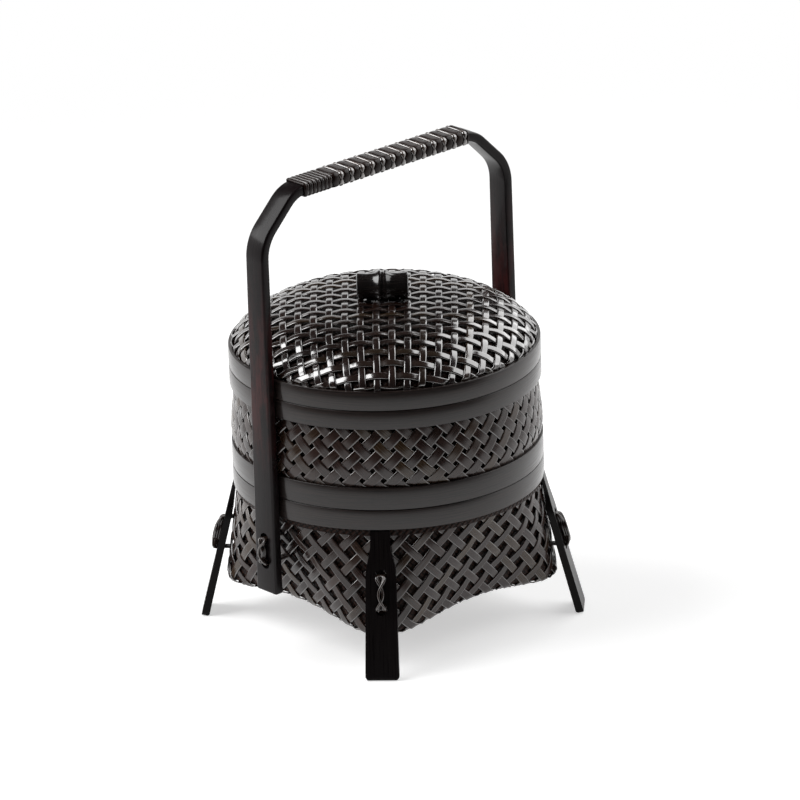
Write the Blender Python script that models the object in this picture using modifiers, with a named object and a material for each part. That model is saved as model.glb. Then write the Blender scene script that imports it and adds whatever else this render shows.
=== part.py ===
"""Two-tier bamboo carrying basket with a domed lid, an arched handle and four splayed legs.

Units are metres, +Z is up, and the floor that the legs stand on is z = 0. The handle's arch
lies in the XZ plane. The base basket is round at its rim and square at its floor, with its
corners at 45 degrees to the handle, and a leg is lashed to each corner.
"""

import math

import bmesh
import bpy
from mathutils import Matrix, Vector

MM = 0.001

# Clearances and resolution
FIT = 0.3 * MM  # gap between neighbouring pieces
CUT_OVERRUN = 3.0 * MM  # how far a cutter runs past what it cuts
MERGE = 0.01 * MM
RING_STEPS = 48
PEG_STEPS = 12
HOLE_STEPS = 16
QUARTER_TURNS_DEG = (0.0, 45.0, 90.0)  # points of a rounded edge

# Bent hoops and the woven wall that they clamp
HOOP_R = 66.5 * MM  # outside of every outer hoop
HOOP_T = 1.6 * MM
HOOP_EASE = 0.4 * MM
WEAVE_T = 1.0 * MM
INNER_HOOP_T = 1.3 * MM
LIP_H = 2.8 * MM  # how far an inner hoop stands up into the piece above it

# Base basket
BASE_RIM_Z = 71.0 * MM
BASE_HOOP_H = 8.7 * MM
FLOOR_Z = 20.0 * MM  # underside of the base's floor
SQUARE_HALF = 55.5 * MM  # half a side of the square floor
SQUARE_CORNER_R = 18.0 * MM
FLOOR_EDGE_R = 3.5 * MM
CORNER_DROP = 4.5 * MM  # how far the square's corners hang below the floor
CORNER_DROP_POWER = 2.6
FLOOR_HANG_POWER = 4.0
WALL_LEVEL_SHARES = (0.35, 0.65, 1.0)  # down the wall, clear of the lashing holes
FLOOR_EDGE_SHARE = 1.0
FLOOR_RING_SHARES = (0.6,)

# Tray
TRAY_H = 44.3 * MM
TRAY_RIM_H = 8.2 * MM
TRAY_FOOT_H = 9.8 * MM
TRAY_BULGE = 1.9 * MM  # how far the wall swells past the clamped radius
TRAY_BULGE_SHARES = ((0.35, 0.55), (0.72, 1.0), (0.93, 0.75))
TRAY_FLOOR_RAISE = 3.7 * MM  # from the foot hoop's lower edge to the floor's underside
TRAY_CORNER_R = 2.6 * MM

# Lid
LID_RIM_H = 8.4 * MM
DOME_H = 17.8 * MM
DOME_SWELL = 0.7 * MM  # how far the dome swells past the clamped radius
DOME_PLAN_POWER = 4.0
DOME_RISE_POWER = 0.82
DOME_SHARES = (0.3, 0.54, 0.71, 0.83, 0.915, 0.97, 1.0)
LID_TURN_DEG = -42.0

# Knob: a stub of bamboo with its node in the middle
KNOB_L = 22.0 * MM
KNOB_END_R = 5.8 * MM
KNOB_WAIST_R = 5.5 * MM
KNOB_NODE_R = 6.9 * MM
KNOB_NODE_GROOVE = 0.6 * MM
KNOB_AXIS_H = 5.2 * MM  # from its planed underside to its axis
KNOB_WAIST_SHARE = 0.6  # shares of half its length, from the node's middle
KNOB_SWELL_SHARE = 0.28
KNOB_NODE_SHARE = 0.12
KNOB_GROOVE_SHARE = 0.04
KNOB_STEPS = 24
KNOB_PEG_SPREAD = 12.0 * MM
PEG_R = 1.0 * MM
PEG_HEAD_R = 2.4 * MM
PEG_HEAD_H = 1.0 * MM
PEG_BITE = 3.2 * MM  # depth of a peg's blind hole

# Handle: one bent bamboo bar
HAND_GAP = 46.0 * MM  # from the knob's top to the wrapping's underside
BAR_T = 4.2 * MM
BAR_TOP_W = 10.4 * MM
BAR_FOOT_W = 12.4 * MM
BAR_EASE = 0.6 * MM
BAR_TAIL = 13.3 * MM  # from the lower lashing hole to the bar's end
SHOULDER_DROP = 18.5 * MM  # height and width of the slanting shoulder
LOWER_BEND_R = 18.0 * MM
UPPER_BEND_R = 14.0 * MM
BEND_STEPS = 5

# Rattan wrapping round the top of the handle
WRAP_T = 0.8 * MM
WRAP_W = 2.9 * MM
WRAP_GAP = 0.45 * MM  # least gap between turns
WRAP_END_GAP = 4.0 * MM  # from a shoulder's bend to the first turn

# Legs: bottle-shaped splints
LEG_NAMES = ("leg_back_right", "leg_back_left", "leg_front_left", "leg_front_right")
LEG_FOOT_W = 14.4 * MM
LEG_BODY_W = 12.8 * MM
LEG_NECK_W = 8.4 * MM
LEG_NECK_H = 4.7 * MM  # the straight neck, down from the tip
LEG_SHOULDER_H = 14.0 * MM  # the slope from the neck down to the body
LEG_FOOT_T = 3.5 * MM
LEG_BODY_T = 3.0 * MM
LEG_TIP_T = 1.1 * MM
LEG_THIN_H = 15.7 * MM  # the thinned part, down from the tip
LEG_EASE = 0.5 * MM
LEG_FOOT_CORNER = 1.6 * MM
LEG_WALL_GAP = 0.35 * MM  # behind a leg, where it starts to thin
LEG_CORNER_GAP = 3.05 * MM  # behind a leg, at the floor's hanging corner

# Rattan lashings: two strands that bow out between their holes and cross once
LASH_R = 0.7 * MM
LASH_PITCH = 2.6 * MM  # centre to centre in the holes
LASH_CROSS = 1.8 * MM  # centre to centre where they cross
LASH_BOW = 2.3 * MM  # how far the pair's middle bows out
LASH_HOLE_R = 2.6 * MM
LASH_TAIL = 2.0 * MM
LEG_LASH_SHARES = (0.44, 0.757)  # upper and lower hole, down the wall
BAR_LASH_SHARES = (0.253, 0.536)
BOW_STEPS = 10

# Worked out from the driving dimensions
SIDE_TURNS = {"right": 0.0, "left": math.pi}
QUARTER = math.pi / 2
LEG_TURNS = {name: QUARTER * i + QUARTER / 2 for i, name in enumerate(LEG_NAMES)}
LEG_TURN = QUARTER / 2
RIM_PEG_Z = BASE_RIM_Z - BASE_HOOP_H / 2
CLAMP_OUT_R = HOOP_R - HOOP_T - FIT
CLAMP_IN_R = CLAMP_OUT_R - WEAVE_T
INNER_HOOP_R = CLAMP_IN_R - FIT
BASE_HOOP_Z = BASE_RIM_Z - BASE_HOOP_H
TRAY_Z = BASE_RIM_Z + FIT
TRAY_TOP_Z = TRAY_Z + TRAY_H
LID_Z = TRAY_TOP_Z + FIT
DOME_Z = LID_Z + LID_RIM_H
DOME_TOP_Z = DOME_Z + DOME_H
KNOB_Z = DOME_TOP_Z + FIT
KNOB_TOP_Z = KNOB_Z + KNOB_AXIS_H + KNOB_NODE_R
BAR_IN_X = HOOP_R + FIT
BAR_MID_X = BAR_IN_X + BAR_T / 2
WRAP_OFF = FIT + WRAP_T / 2
BAR_UNDER_Z = KNOB_TOP_Z + HAND_GAP + WRAP_T + FIT
BAR_MID_Z = BAR_UNDER_Z + BAR_T / 2
LEG_TIP_Z = BASE_HOOP_Z - 2 * FIT
LEG_TIP_R = CLAMP_OUT_R + 2 * FIT + LEG_TIP_T
LEG_THIN_Z = LEG_TIP_Z - LEG_THIN_H
LEG_NECK_Z = LEG_TIP_Z - LEG_NECK_H
LEG_SHOULDER_Z = LEG_NECK_Z - LEG_SHOULDER_H


def clear_scene():
    for obj in list(bpy.data.objects):
        bpy.data.objects.remove(obj)


def new_collection(name):
    group = bpy.data.collections.new(name)
    bpy.context.scene.collection.children.link(group)
    return group


def surface(name, colour, roughness):
    """A Principled material of one colour, given as linear red, green and blue."""
    mat = bpy.data.materials.new(name)
    mat.use_nodes = True
    shader = mat.node_tree.nodes["Principled BSDF"]
    shader.inputs["Base Color"].default_value = (*colour, 1.0)
    shader.inputs["Roughness"].default_value = roughness
    shader.inputs["Metallic"].default_value = 0.0
    return mat


def add_object(name, data, group, mat=None):
    obj = bpy.data.objects.new(name, data)
    group.objects.link(obj)
    if mat is not None and not data.materials:
        data.materials.append(mat)
    return obj


def shade_round(mesh):
    mesh.shade_smooth()
    mesh.set_sharp_from_angle(angle=math.radians(35.0))


def mesh_from(bm, name):
    bmesh.ops.recalc_face_normals(bm, faces=bm.faces)
    mesh = bpy.data.meshes.new(name)
    bm.to_mesh(mesh)
    bm.free()
    return mesh


def turned(name, profile, steps, group, mat, closed):
    """A profile of (radius, height) points turned about Z with a Screw modifier."""
    mesh = bpy.data.meshes.new(name)
    count = len(profile)
    edges = [(i, i + 1) for i in range(count - 1)]
    if closed:
        edges.append((count - 1, 0))
    mesh.from_pydata([(r, 0, z) for r, z in profile], edges, [])
    obj = add_object(name, mesh, group, mat)
    screw = obj.modifiers.new("turn", "SCREW")
    screw.steps = steps
    screw.render_steps = steps
    screw.use_merge_vertices = True
    screw.merge_threshold = MERGE
    screw.use_smooth_shade = True
    return obj


def thicken(obj, wall):
    """Gives an open surface its wall, inwards from its outer face."""
    solid = obj.modifiers.new("wall", "SOLIDIFY")
    solid.thickness = wall
    solid.offset = -1.0
    solid.use_even_offset = True


def cut(obj, cutter):
    boolean = obj.modifiers.new("cut", "BOOLEAN")
    boolean.operation = "DIFFERENCE"
    boolean.object = cutter


def baked(obj, name, group, mat):
    """A new mesh object from an object's evaluated shape, welded, in place of the object."""
    bpy.context.view_layer.update()
    graph = bpy.context.evaluated_depsgraph_get()
    mesh = bpy.data.meshes.new_from_object(obj.evaluated_get(graph))
    bm = bmesh.new()
    bm.from_mesh(mesh)
    bmesh.ops.remove_doubles(bm, verts=bm.verts, dist=MERGE)
    bm.to_mesh(mesh)
    bm.free()
    place = obj.matrix_world.copy()
    bpy.data.objects.remove(obj)
    mesh.materials.clear()
    made = add_object(name, mesh, group, mat)
    made.matrix_world = place
    return made


def rod_cutter(name, start, end, radius, steps, cutters):
    """A round cutter between two points."""
    along = Vector(end) - Vector(start)
    bm = bmesh.new()
    bmesh.ops.create_cone(
        bm, cap_ends=True, segments=steps, radius1=radius, radius2=radius, depth=along.length
    )
    turn = along.to_track_quat("Z", "Y").to_matrix().to_4x4()
    middle = Matrix.Translation((Vector(start) + Vector(end)) / 2)
    bmesh.ops.transform(bm, matrix=middle @ turn, verts=bm.verts)
    return helper(name, bm, cutters)


def helper(name, bm, cutters):
    obj = add_object(name, mesh_from(bm, name), cutters)
    obj.hide_render = True
    obj.display_type = "WIRE"
    return obj


def hoop_profile(r_in, r_out, z_low, z_high):
    """A bent splint's section, its two outer edges eased, running down its outer side."""
    return [
        (r_out, z_high - HOOP_EASE),
        (r_out, z_low + HOOP_EASE),
        (r_out - HOOP_EASE, z_low),
        (r_in, z_low),
        (r_in, z_high),
        (r_out - HOOP_EASE, z_high),
    ]


def outer_hoop(name, z_low, height, group, mat):
    profile = hoop_profile(HOOP_R - HOOP_T, HOOP_R, z_low, z_low + height)
    return turned(name, profile, RING_STEPS, group, mat, closed=True)


def inner_hoop(name, z_low, z_high, group, mat):
    r_in = INNER_HOOP_R - INNER_HOOP_T
    profile = [(INNER_HOOP_R, z_high), (INNER_HOOP_R, z_low), (r_in, z_low), (r_in, z_high)]
    return turned(name, profile, RING_STEPS, group, mat, closed=True)


def square_reach(angle, half_side, corner_r):
    """Distance from the centre to a rounded square's outline along an angle."""
    turn = abs((angle + QUARTER / 2) % QUARTER - QUARTER / 2)
    centre = half_side - corner_r
    if half_side * math.tan(turn) <= centre:
        return half_side / math.cos(turn)
    along = centre * (math.cos(turn) + math.sin(turn))
    return along + math.sqrt(max(along**2 - 2 * centre**2 + corner_r**2, 0.0))


def wall_reach(angle, share):
    """Outer radius of the base's wall at a share of its way from the hoop to the floor."""
    half_side = CLAMP_OUT_R + share * (SQUARE_HALF - CLAMP_OUT_R)
    corner_r = CLAMP_OUT_R + share * (SQUARE_CORNER_R - CLAMP_OUT_R)
    return square_reach(angle, half_side, corner_r)


def corner_drop(angle):
    return CORNER_DROP * abs(math.sin(2 * angle)) ** CORNER_DROP_POWER


def wall_z(angle, share):
    """Height of the base's wall at a share of its way from the hoop to the floor's edge."""
    low = FLOOR_Z + FLOOR_EDGE_R - corner_drop(angle)
    return BASE_HOOP_Z + share * (low - BASE_HOOP_Z)


def wall_r_at(angle, z):
    """Outer radius of the base's wall at a height."""
    share = (BASE_HOOP_Z - z) / (BASE_HOOP_Z - wall_z(angle, FLOOR_EDGE_SHARE))
    return wall_reach(angle, share)


def polar(angle, radius, z):
    return (radius * math.cos(angle), radius * math.sin(angle), z)


def base_rings():
    """Rings of points down the base basket's outer face, from its rim to its floor."""
    angles = [2 * math.pi * i / RING_STEPS for i in range(RING_STEPS)]
    edge = FLOOR_EDGE_SHARE
    rings = [[polar(a, CLAMP_OUT_R, z) for a in angles] for z in (BASE_RIM_Z - FIT, BASE_HOOP_Z)]
    for share in WALL_LEVEL_SHARES:
        rings.append([polar(a, wall_reach(a, share), wall_z(a, share)) for a in angles])
    for turn in map(math.radians, QUARTER_TURNS_DEG[1:]):
        inset = FLOOR_EDGE_R * (1 - math.cos(turn))
        drop = FLOOR_EDGE_R * math.sin(turn)
        rings.append([polar(a, wall_reach(a, edge) - inset, wall_z(a, edge) - drop) for a in angles])
    for share in FLOOR_RING_SHARES:
        reaches = [share * (wall_reach(a, edge) - FLOOR_EDGE_R) for a in angles]
        heights = [FLOOR_Z - corner_drop(a) * share**FLOOR_HANG_POWER for a in angles]
        rings.append([polar(a, r, z) for a, r, z in zip(angles, reaches, heights)])
    return rings


def loft(rings, name, end_fan=None, cap=False):
    """A mesh through rings of equally many points, closed by a fan to a point or by two caps."""
    bm = bmesh.new()
    rows = [[bm.verts.new(p) for p in ring] for ring in rings]
    for upper, lower in zip(rows, rows[1:]):
        for i in range(len(upper)):
            j = (i + 1) % len(upper)
            bm.faces.new((upper[i], lower[i], lower[j], upper[j]))
    if end_fan is not None:
        tip = bm.verts.new(end_fan)
        last = rows[-1]
        for i in range(len(last)):
            bm.faces.new((last[i], last[(i + 1) % len(last)], tip))
    if cap:
        bm.faces.new(rows[0])
        bm.faces.new(rows[-1])
    return mesh_from(bm, name)


def flat_outline(name, points, thickness, ease, group):
    """A flat outline in local XY, extruded to a thickness with eased edges, as a welded mesh."""
    curve = bpy.data.curves.new(name, "CURVE")
    curve.dimensions = "2D"
    curve.fill_mode = "BOTH"
    curve.extrude = thickness / 2 - ease
    curve.bevel_depth = ease
    curve.bevel_resolution = 0
    curve.offset = -ease
    spline = curve.splines.new("POLY")
    spline.points.add(len(points) - 1)
    for point, (x, y) in zip(spline.points, points):
        point.co = (x, y, 0, 1)
    spline.use_cyclic_u = True
    return baked(add_object(name, curve, group), name, group, None)


def bend(corner, before, after, radius, steps):
    """Points of the arc that rounds a corner between two neighbours."""
    corner, before, after = Vector(corner), Vector(before), Vector(after)
    back = (before - corner).normalized()
    ahead = (after - corner).normalized()
    half = back.angle(ahead) / 2
    centre = corner + (back + ahead).normalized() * radius / math.sin(half)
    start = corner + back * radius / math.tan(half) - centre
    sweep = math.pi - 2 * half
    side = 1 if back.x * ahead.y - back.y * ahead.x < 0 else -1
    return [
        centre + Matrix.Rotation(side * sweep * i / steps, 2) @ start for i in range(steps + 1)
    ]


def handle_side(offset):
    """The right half of the handle's line in XZ, from foot to top, offset outwards."""
    x = BAR_MID_X + offset
    z = BAR_MID_Z + offset
    lean = offset * (1 - math.tan(math.radians(22.5)))
    low = (x, BAR_MID_Z - SHOULDER_DROP + offset - lean)
    high = (BAR_MID_X - SHOULDER_DROP + offset - lean, z)
    foot = (x, bar_foot_z())
    return (
        [Vector(foot)]
        + bend(low, foot, high, LOWER_BEND_R + offset, BEND_STEPS)
        + bend(high, low, (0, z), UPPER_BEND_R + offset, BEND_STEPS)
    )


def lash_heights(turn, shares):
    """Heights of a lashing's upper and lower hole."""
    return [wall_z(turn, share) for share in shares]


def bar_foot_z():
    return min(lash_heights(0.0, BAR_LASH_SHARES)) - BAR_TAIL


def bar_width(z):
    """Width of the handle's bar, which narrows from its foot to the top."""
    share = min(max((z - bar_foot_z()) / (BAR_MID_Z - bar_foot_z()), 0.0), 1.0)
    return BAR_FOOT_W + (BAR_TOP_W - BAR_FOOT_W) * share


def make_handle(group, cutters, mat):
    outer = handle_side(BAR_T / 2)
    inner = handle_side(-BAR_T / 2)
    half = [(p.x, p.y) for p in outer]
    back = [(p.x, p.y) for p in inner]
    outline = half + [(-x, z) for x, z in reversed(half)] + [(-x, z) for x, z in back]
    outline += list(reversed(back))
    bar = flat_outline("handle_bar", outline, BAR_FOOT_W, BAR_EASE, group)
    bar.data.transform(Matrix.Rotation(math.pi / 2, 4, "X"))
    for vert in bar.data.vertices:
        vert.co.y *= bar_width(vert.co.z) / BAR_FOOT_W
    bar.data.materials.append(mat)
    for turn in SIDE_TURNS.values():
        for z in lash_heights(turn, BAR_LASH_SHARES):
            cut(bar, lash_cutter("bar_lash_hole", turn, BAR_IN_X + BAR_T, BAR_T, z, cutters))
        cut(bar, handle_peg_cutter(turn, cutters))


def handle_peg_cutter(turn, cutters):
    """The hole through the base's rim, blind in the handle's inner face."""
    start = polar(turn, INNER_HOOP_R - INNER_HOOP_T - CUT_OVERRUN, RIM_PEG_Z)
    end = polar(turn, BAR_IN_X + PEG_BITE, RIM_PEG_Z)
    return rod_cutter("bar_peg_hole", start, end, PEG_R + FIT, PEG_STEPS, cutters)


def make_handle_peg(name, turn, group, mat):
    """A bamboo peg driven from inside the rim into the handle."""
    start = INNER_HOOP_R - INNER_HOOP_T - FIT
    length = BAR_IN_X + PEG_BITE - FIT - start
    profile = [(0, length), (PEG_R, length), (PEG_R, 0), (0, 0)]
    peg = turned(name, profile, PEG_STEPS, group, mat, closed=False)
    peg.rotation_euler = (0, math.pi / 2, turn)
    peg.location = polar(turn, start, RIM_PEG_Z)


def wrap_rings():
    """Sections of the flat rattan strip that winds round the bar's top."""
    half_y = BAR_TOP_W / 2 + WRAP_OFF
    half_z = BAR_T / 2 + WRAP_OFF
    ease = WRAP_OFF
    flat_x = BAR_MID_X - SHOULDER_DROP - UPPER_BEND_R * math.tan(math.radians(22.5))
    run = 2 * (flat_x - WRAP_END_GAP)
    turns = int(run / (WRAP_W + WRAP_GAP))
    # One turn's eight points and the way that each faces, anticlockwise in YZ.
    loop = []
    for sy, sz in ((1, 1), (-1, 1), (-1, -1), (1, -1)):
        on_side = ((sy * half_y, sz * (half_z - ease)), (sy, 0))
        on_flat = ((sy * (half_y - ease), sz * half_z), (0, sz))
        loop += [on_side, on_flat] if sy * sz > 0 else [on_flat, on_side]
    rings = []
    count = turns * len(loop)
    for i in range(count + 1):
        (y, z), (ny, nz) = loop[i % len(loop)]
        x = -run / 2 + run * i / count
        out = Vector((0, ny, nz)) * WRAP_T / 2
        wide = Vector((WRAP_W / 2, 0, 0))
        middle = Vector((x, y, BAR_MID_Z + z))
        corners = ((-1, -1), (-1, 1), (1, 1), (1, -1))
        rings.append([middle + across * wide + up * out for across, up in corners])
    return rings, len(loop)


def least_gap(rings, per_turn):
    """The least distance between points of a winding's sections a turn apart."""
    gaps = []
    for here, there in zip(rings, rings[per_turn:]):
        gaps += [(a - b).length for a in here for b in there]
    return min(gaps)


def make_wrap(group, mat):
    rings, per_turn = wrap_rings()
    print(f"handle_wrap: least gap between its turns {least_gap(rings, per_turn) / MM:.2f} mm")
    add_object("handle_wrap", loft(rings, "handle_wrap", cap=True), group, mat)


def leg_thickness(z):
    if z > LEG_THIN_Z:
        return LEG_BODY_T + (LEG_TIP_T - LEG_BODY_T) * (z - LEG_THIN_Z) / LEG_THIN_H
    return LEG_FOOT_T + (LEG_BODY_T - LEG_FOOT_T) * z / LEG_THIN_Z


def leg_outer_r(z):
    """Distance from the basket's axis to a leg's outer face, which clears the wall all the way."""
    thin_r = wall_r_at(LEG_TURN, LEG_THIN_Z) + LEG_WALL_GAP + LEG_BODY_T
    if z > LEG_THIN_Z:
        return thin_r + (LEG_TIP_R - thin_r) * (z - LEG_THIN_Z) / LEG_THIN_H
    corner_z = wall_z(LEG_TURN, FLOOR_EDGE_SHARE)
    corner_r = wall_reach(LEG_TURN, FLOOR_EDGE_SHARE) + LEG_CORNER_GAP + leg_thickness(corner_z)
    return thin_r + (corner_r - thin_r) * (LEG_THIN_Z - z) / (LEG_THIN_Z - corner_z)


def leg_mesh(group, cutters, mat):
    """One leg at azimuth 0: a bottle-shaped splint, leaning out to its foot."""
    half = [
        (LEG_FOOT_W / 2 - LEG_FOOT_CORNER, 0),
        (LEG_FOOT_W / 2, LEG_FOOT_CORNER),
        (LEG_BODY_W / 2, LEG_SHOULDER_Z),
        ((LEG_BODY_W + LEG_NECK_W) / 4, (LEG_SHOULDER_Z + LEG_NECK_Z) / 2),
        (LEG_NECK_W / 2, LEG_NECK_Z),
        (LEG_NECK_W / 2, LEG_TIP_Z),
    ]
    outline = half + [(-x, z) for x, z in reversed(half)]
    leg = flat_outline("leg", outline, LEG_FOOT_T, 0.0, group)
    # Local X is the leg's width, local Y its height and local Z its thickness.
    leg.data.transform(Matrix(((0, 0, 1, 0), (1, 0, 0, 0), (0, 1, 0, 0), (0, 0, 0, 1))))
    bm = bmesh.new()
    bm.from_mesh(leg.data)
    bmesh.ops.bisect_plane(
        bm,
        geom=bm.verts[:] + bm.edges[:] + bm.faces[:],
        plane_co=(0, 0, LEG_THIN_Z),
        plane_no=(0, 0, 1),
    )
    long_edges = [e for e in bm.edges if e.is_manifold and e.calc_face_angle() > math.radians(60.0)]
    bmesh.ops.bevel(
        bm, geom=long_edges, offset=LEG_EASE, segments=1, profile=0.5, affect="EDGES", material=-1
    )
    for vert in bm.verts:
        depth_share = 0.5 - vert.co.x / LEG_FOOT_T
        vert.co.x = leg_outer_r(vert.co.z) - depth_share * leg_thickness(vert.co.z)
    bm.to_mesh(leg.data)
    bm.free()
    for z in lash_heights(LEG_TURN, LEG_LASH_SHARES):
        cut(leg, lash_cutter("leg_lash_hole", 0.0, leg_outer_r(z), LEG_FOOT_T, z, cutters))
    leg = baked(leg, "leg", group, mat)
    shade_round(leg.data)
    mesh = leg.data
    bpy.data.objects.remove(leg)
    return mesh


def lash_cutter(name, azimuth, face_r, depth, z, cutters):
    """A level radial hole for a lashing, through a piece of some depth behind its face."""
    start = polar(azimuth, face_r - depth - CUT_OVERRUN, z)
    end = polar(azimuth, face_r + CUT_OVERRUN, z)
    return rod_cutter(name, start, end, LASH_HOLE_R, HOLE_STEPS, cutters)


def make_base(group, cutters, mat):
    """The woven base basket: round at its rim, square with hanging corners at its floor."""
    mesh = loft(base_rings(), "base_basket", end_fan=(0, 0, FLOOR_Z))
    basket = add_object("base_basket", mesh, group, mat)
    thicken(basket, WEAVE_T)
    tied = [(turn, LEG_LASH_SHARES) for turn in LEG_TURNS.values()]
    tied += [(turn, BAR_LASH_SHARES) for turn in SIDE_TURNS.values()]
    for turn, shares in tied:
        for z in lash_heights(turn, shares):
            face_r = wall_r_at(turn, z)
            cut(basket, lash_cutter("wall_lash_hole", turn, face_r, WEAVE_T, z, cutters))
    shade_round(basket.data)
    return basket


def bow_run(holes, outer_rs, side):
    """One strand's way down the outside: bowed out, and crossed over its twin or under it."""
    high, low = holes
    r_high, r_low = outer_rs
    run = []
    for i in range(BOW_STEPS + 1):
        turn = math.pi * i / BOW_STEPS
        down = (1 - math.cos(turn)) / 2
        out = (LASH_BOW + side * LASH_CROSS / 2) * math.sin(turn)
        y = -side * LASH_PITCH / 2 * math.cos(turn)
        run.append((r_high + (r_low - r_high) * down + out, y, high + (low - high) * down))
    return run


def lashing_path(holes, outer_rs, inner_rs):
    """A strand's line: down the outside, up the inside and down the outside again."""
    high, low = holes
    r_high, r_low = inner_rs
    turn_r = LASH_R + FIT
    over = bow_run(holes, outer_rs, 1)
    under = bow_run(holes, outer_rs, -1)
    least = min(math.dist(a, b) for a in over for b in under)
    y = LASH_PITCH / 2
    rise = []
    for turn in map(math.radians, reversed(QUARTER_TURNS_DEG)):
        rise.append((r_low - turn_r * math.cos(turn), y, low + turn_r * (1 - math.sin(turn))))
    for turn in map(math.radians, QUARTER_TURNS_DEG):
        rise.append((r_high - turn_r * math.cos(turn), y, high - turn_r * (1 - math.sin(turn))))
    start = [(r_high - LASH_TAIL, -y, high)]
    end = [(r_low - LASH_TAIL, -y, low)]
    return start + over + rise + under + end, least - 2 * LASH_R


def tube_data(name, path, radius, mat):
    curve = bpy.data.curves.new(name, "CURVE")
    curve.dimensions = "3D"
    curve.bevel_depth = radius
    curve.bevel_resolution = 1
    curve.use_fill_caps = True
    spline = curve.splines.new("POLY")
    spline.points.add(len(path) - 1)
    for point, place in zip(spline.points, path):
        point.co = (*place, 1)
    curve.materials.append(mat)
    return curve


def inner_wall_r(turn, z):
    """Radius of the base's inner face at a height, allowing for the wall's slope."""
    slope = (wall_r_at(turn, z - FIT) - wall_r_at(turn, z + FIT)) / (2 * FIT)
    return wall_r_at(turn, z) - WEAVE_T * math.sqrt(1 + slope**2)


def make_lashings(group, mat):
    leg_holes = lash_heights(LEG_TURN, LEG_LASH_SHARES)
    bar_holes = lash_heights(0.0, BAR_LASH_SHARES)
    leg_path, leg_gap = lashing_path(
        leg_holes,
        [leg_outer_r(z) for z in leg_holes],
        [inner_wall_r(LEG_TURN, z) - FIT for z in leg_holes],
    )
    bar_path, bar_gap = lashing_path(
        bar_holes,
        [BAR_IN_X + BAR_T for z in bar_holes],
        [inner_wall_r(0.0, z) - FIT for z in bar_holes],
    )
    leg_strand = tube_data("leg_lashing", leg_path, LASH_R, mat)
    bar_strand = tube_data("bar_lashing", bar_path, LASH_R, mat)
    print(f"lashings: least gap between strands {min(leg_gap, bar_gap) / MM:.2f} mm")
    for leg, turn in LEG_TURNS.items():
        tie = add_object(leg.replace("leg", "leg_lashing", 1), leg_strand, group)
        tie.rotation_euler = (0, 0, turn)
    for side, turn in SIDE_TURNS.items():
        tie = add_object(f"handle_lashing_{side}", bar_strand, group)
        tie.rotation_euler = (0, 0, turn)


def make_tray(group, mat):
    """The woven tray: a swelling wall that turns in above the foot hoop to a flat floor."""
    rim_z = TRAY_TOP_Z - TRAY_RIM_H
    foot_z = TRAY_Z + TRAY_FOOT_H
    floor_z = TRAY_Z + TRAY_FLOOR_RAISE
    profile = [(CLAMP_OUT_R, TRAY_TOP_Z - FIT), (CLAMP_OUT_R, rim_z)]
    for down, out in TRAY_BULGE_SHARES:
        profile.append((CLAMP_OUT_R + out * TRAY_BULGE, rim_z + down * (foot_z - rim_z)))
    profile.append((CLAMP_OUT_R, foot_z + FIT))
    for turn in map(math.radians, QUARTER_TURNS_DEG):
        r = CLAMP_OUT_R - TRAY_CORNER_R * (1 - math.cos(turn))
        profile.append((r, floor_z + TRAY_CORNER_R * (1 - math.sin(turn))))
    profile.append((0, floor_z))
    tray = turned("tray_basket", profile, RING_STEPS, group, mat, closed=False)
    thicken(tray, WEAVE_T)


def make_foot_ring(group, mat):
    """The splint that packs the foot hoop below the tray's floor."""
    low = TRAY_Z + FIT
    high = TRAY_Z + TRAY_FLOOR_RAISE - FIT
    profile = [(CLAMP_OUT_R, high), (CLAMP_OUT_R, low), (CLAMP_IN_R, low), (CLAMP_IN_R, high)]
    turned("tray_foot_ring", profile, RING_STEPS, group, mat, closed=True)


def dome_z(share):
    """Height of the lid's outer face at a share of its radius."""
    foot_z = DOME_Z + DOME_SWELL + FIT
    return foot_z + (DOME_TOP_Z - foot_z) * (1 - share**DOME_PLAN_POWER) ** DOME_RISE_POWER


def make_dome(group, cutters, mat):
    """The woven lid: a flat-topped dome, its skirt clamped between the lid's hoops."""
    reach = CLAMP_OUT_R + DOME_SWELL
    profile = [(0, DOME_TOP_Z)]
    profile += [(share * reach, dome_z(share)) for share in DOME_SHARES]
    profile += [(CLAMP_OUT_R, DOME_Z), (CLAMP_OUT_R, LID_Z + FIT)]
    dome = turned("lid_dome", profile, RING_STEPS, group, mat, closed=False)
    thicken(dome, WEAVE_T)
    for place in knob_peg_places():
        start = (*place, DOME_TOP_Z - WEAVE_T - CUT_OVERRUN)
        end = (*place, DOME_TOP_Z + CUT_OVERRUN)
        cut(dome, rod_cutter("dome_peg_hole", start, end, PEG_R + FIT, PEG_STEPS, cutters))


def knob_peg_places():
    """Where the knob's two pegs stand, in plan."""
    turn = math.radians(LID_TURN_DEG)
    reach = KNOB_PEG_SPREAD / 2
    return [(side * reach * math.cos(turn), side * reach * math.sin(turn)) for side in (-1, 1)]


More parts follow.
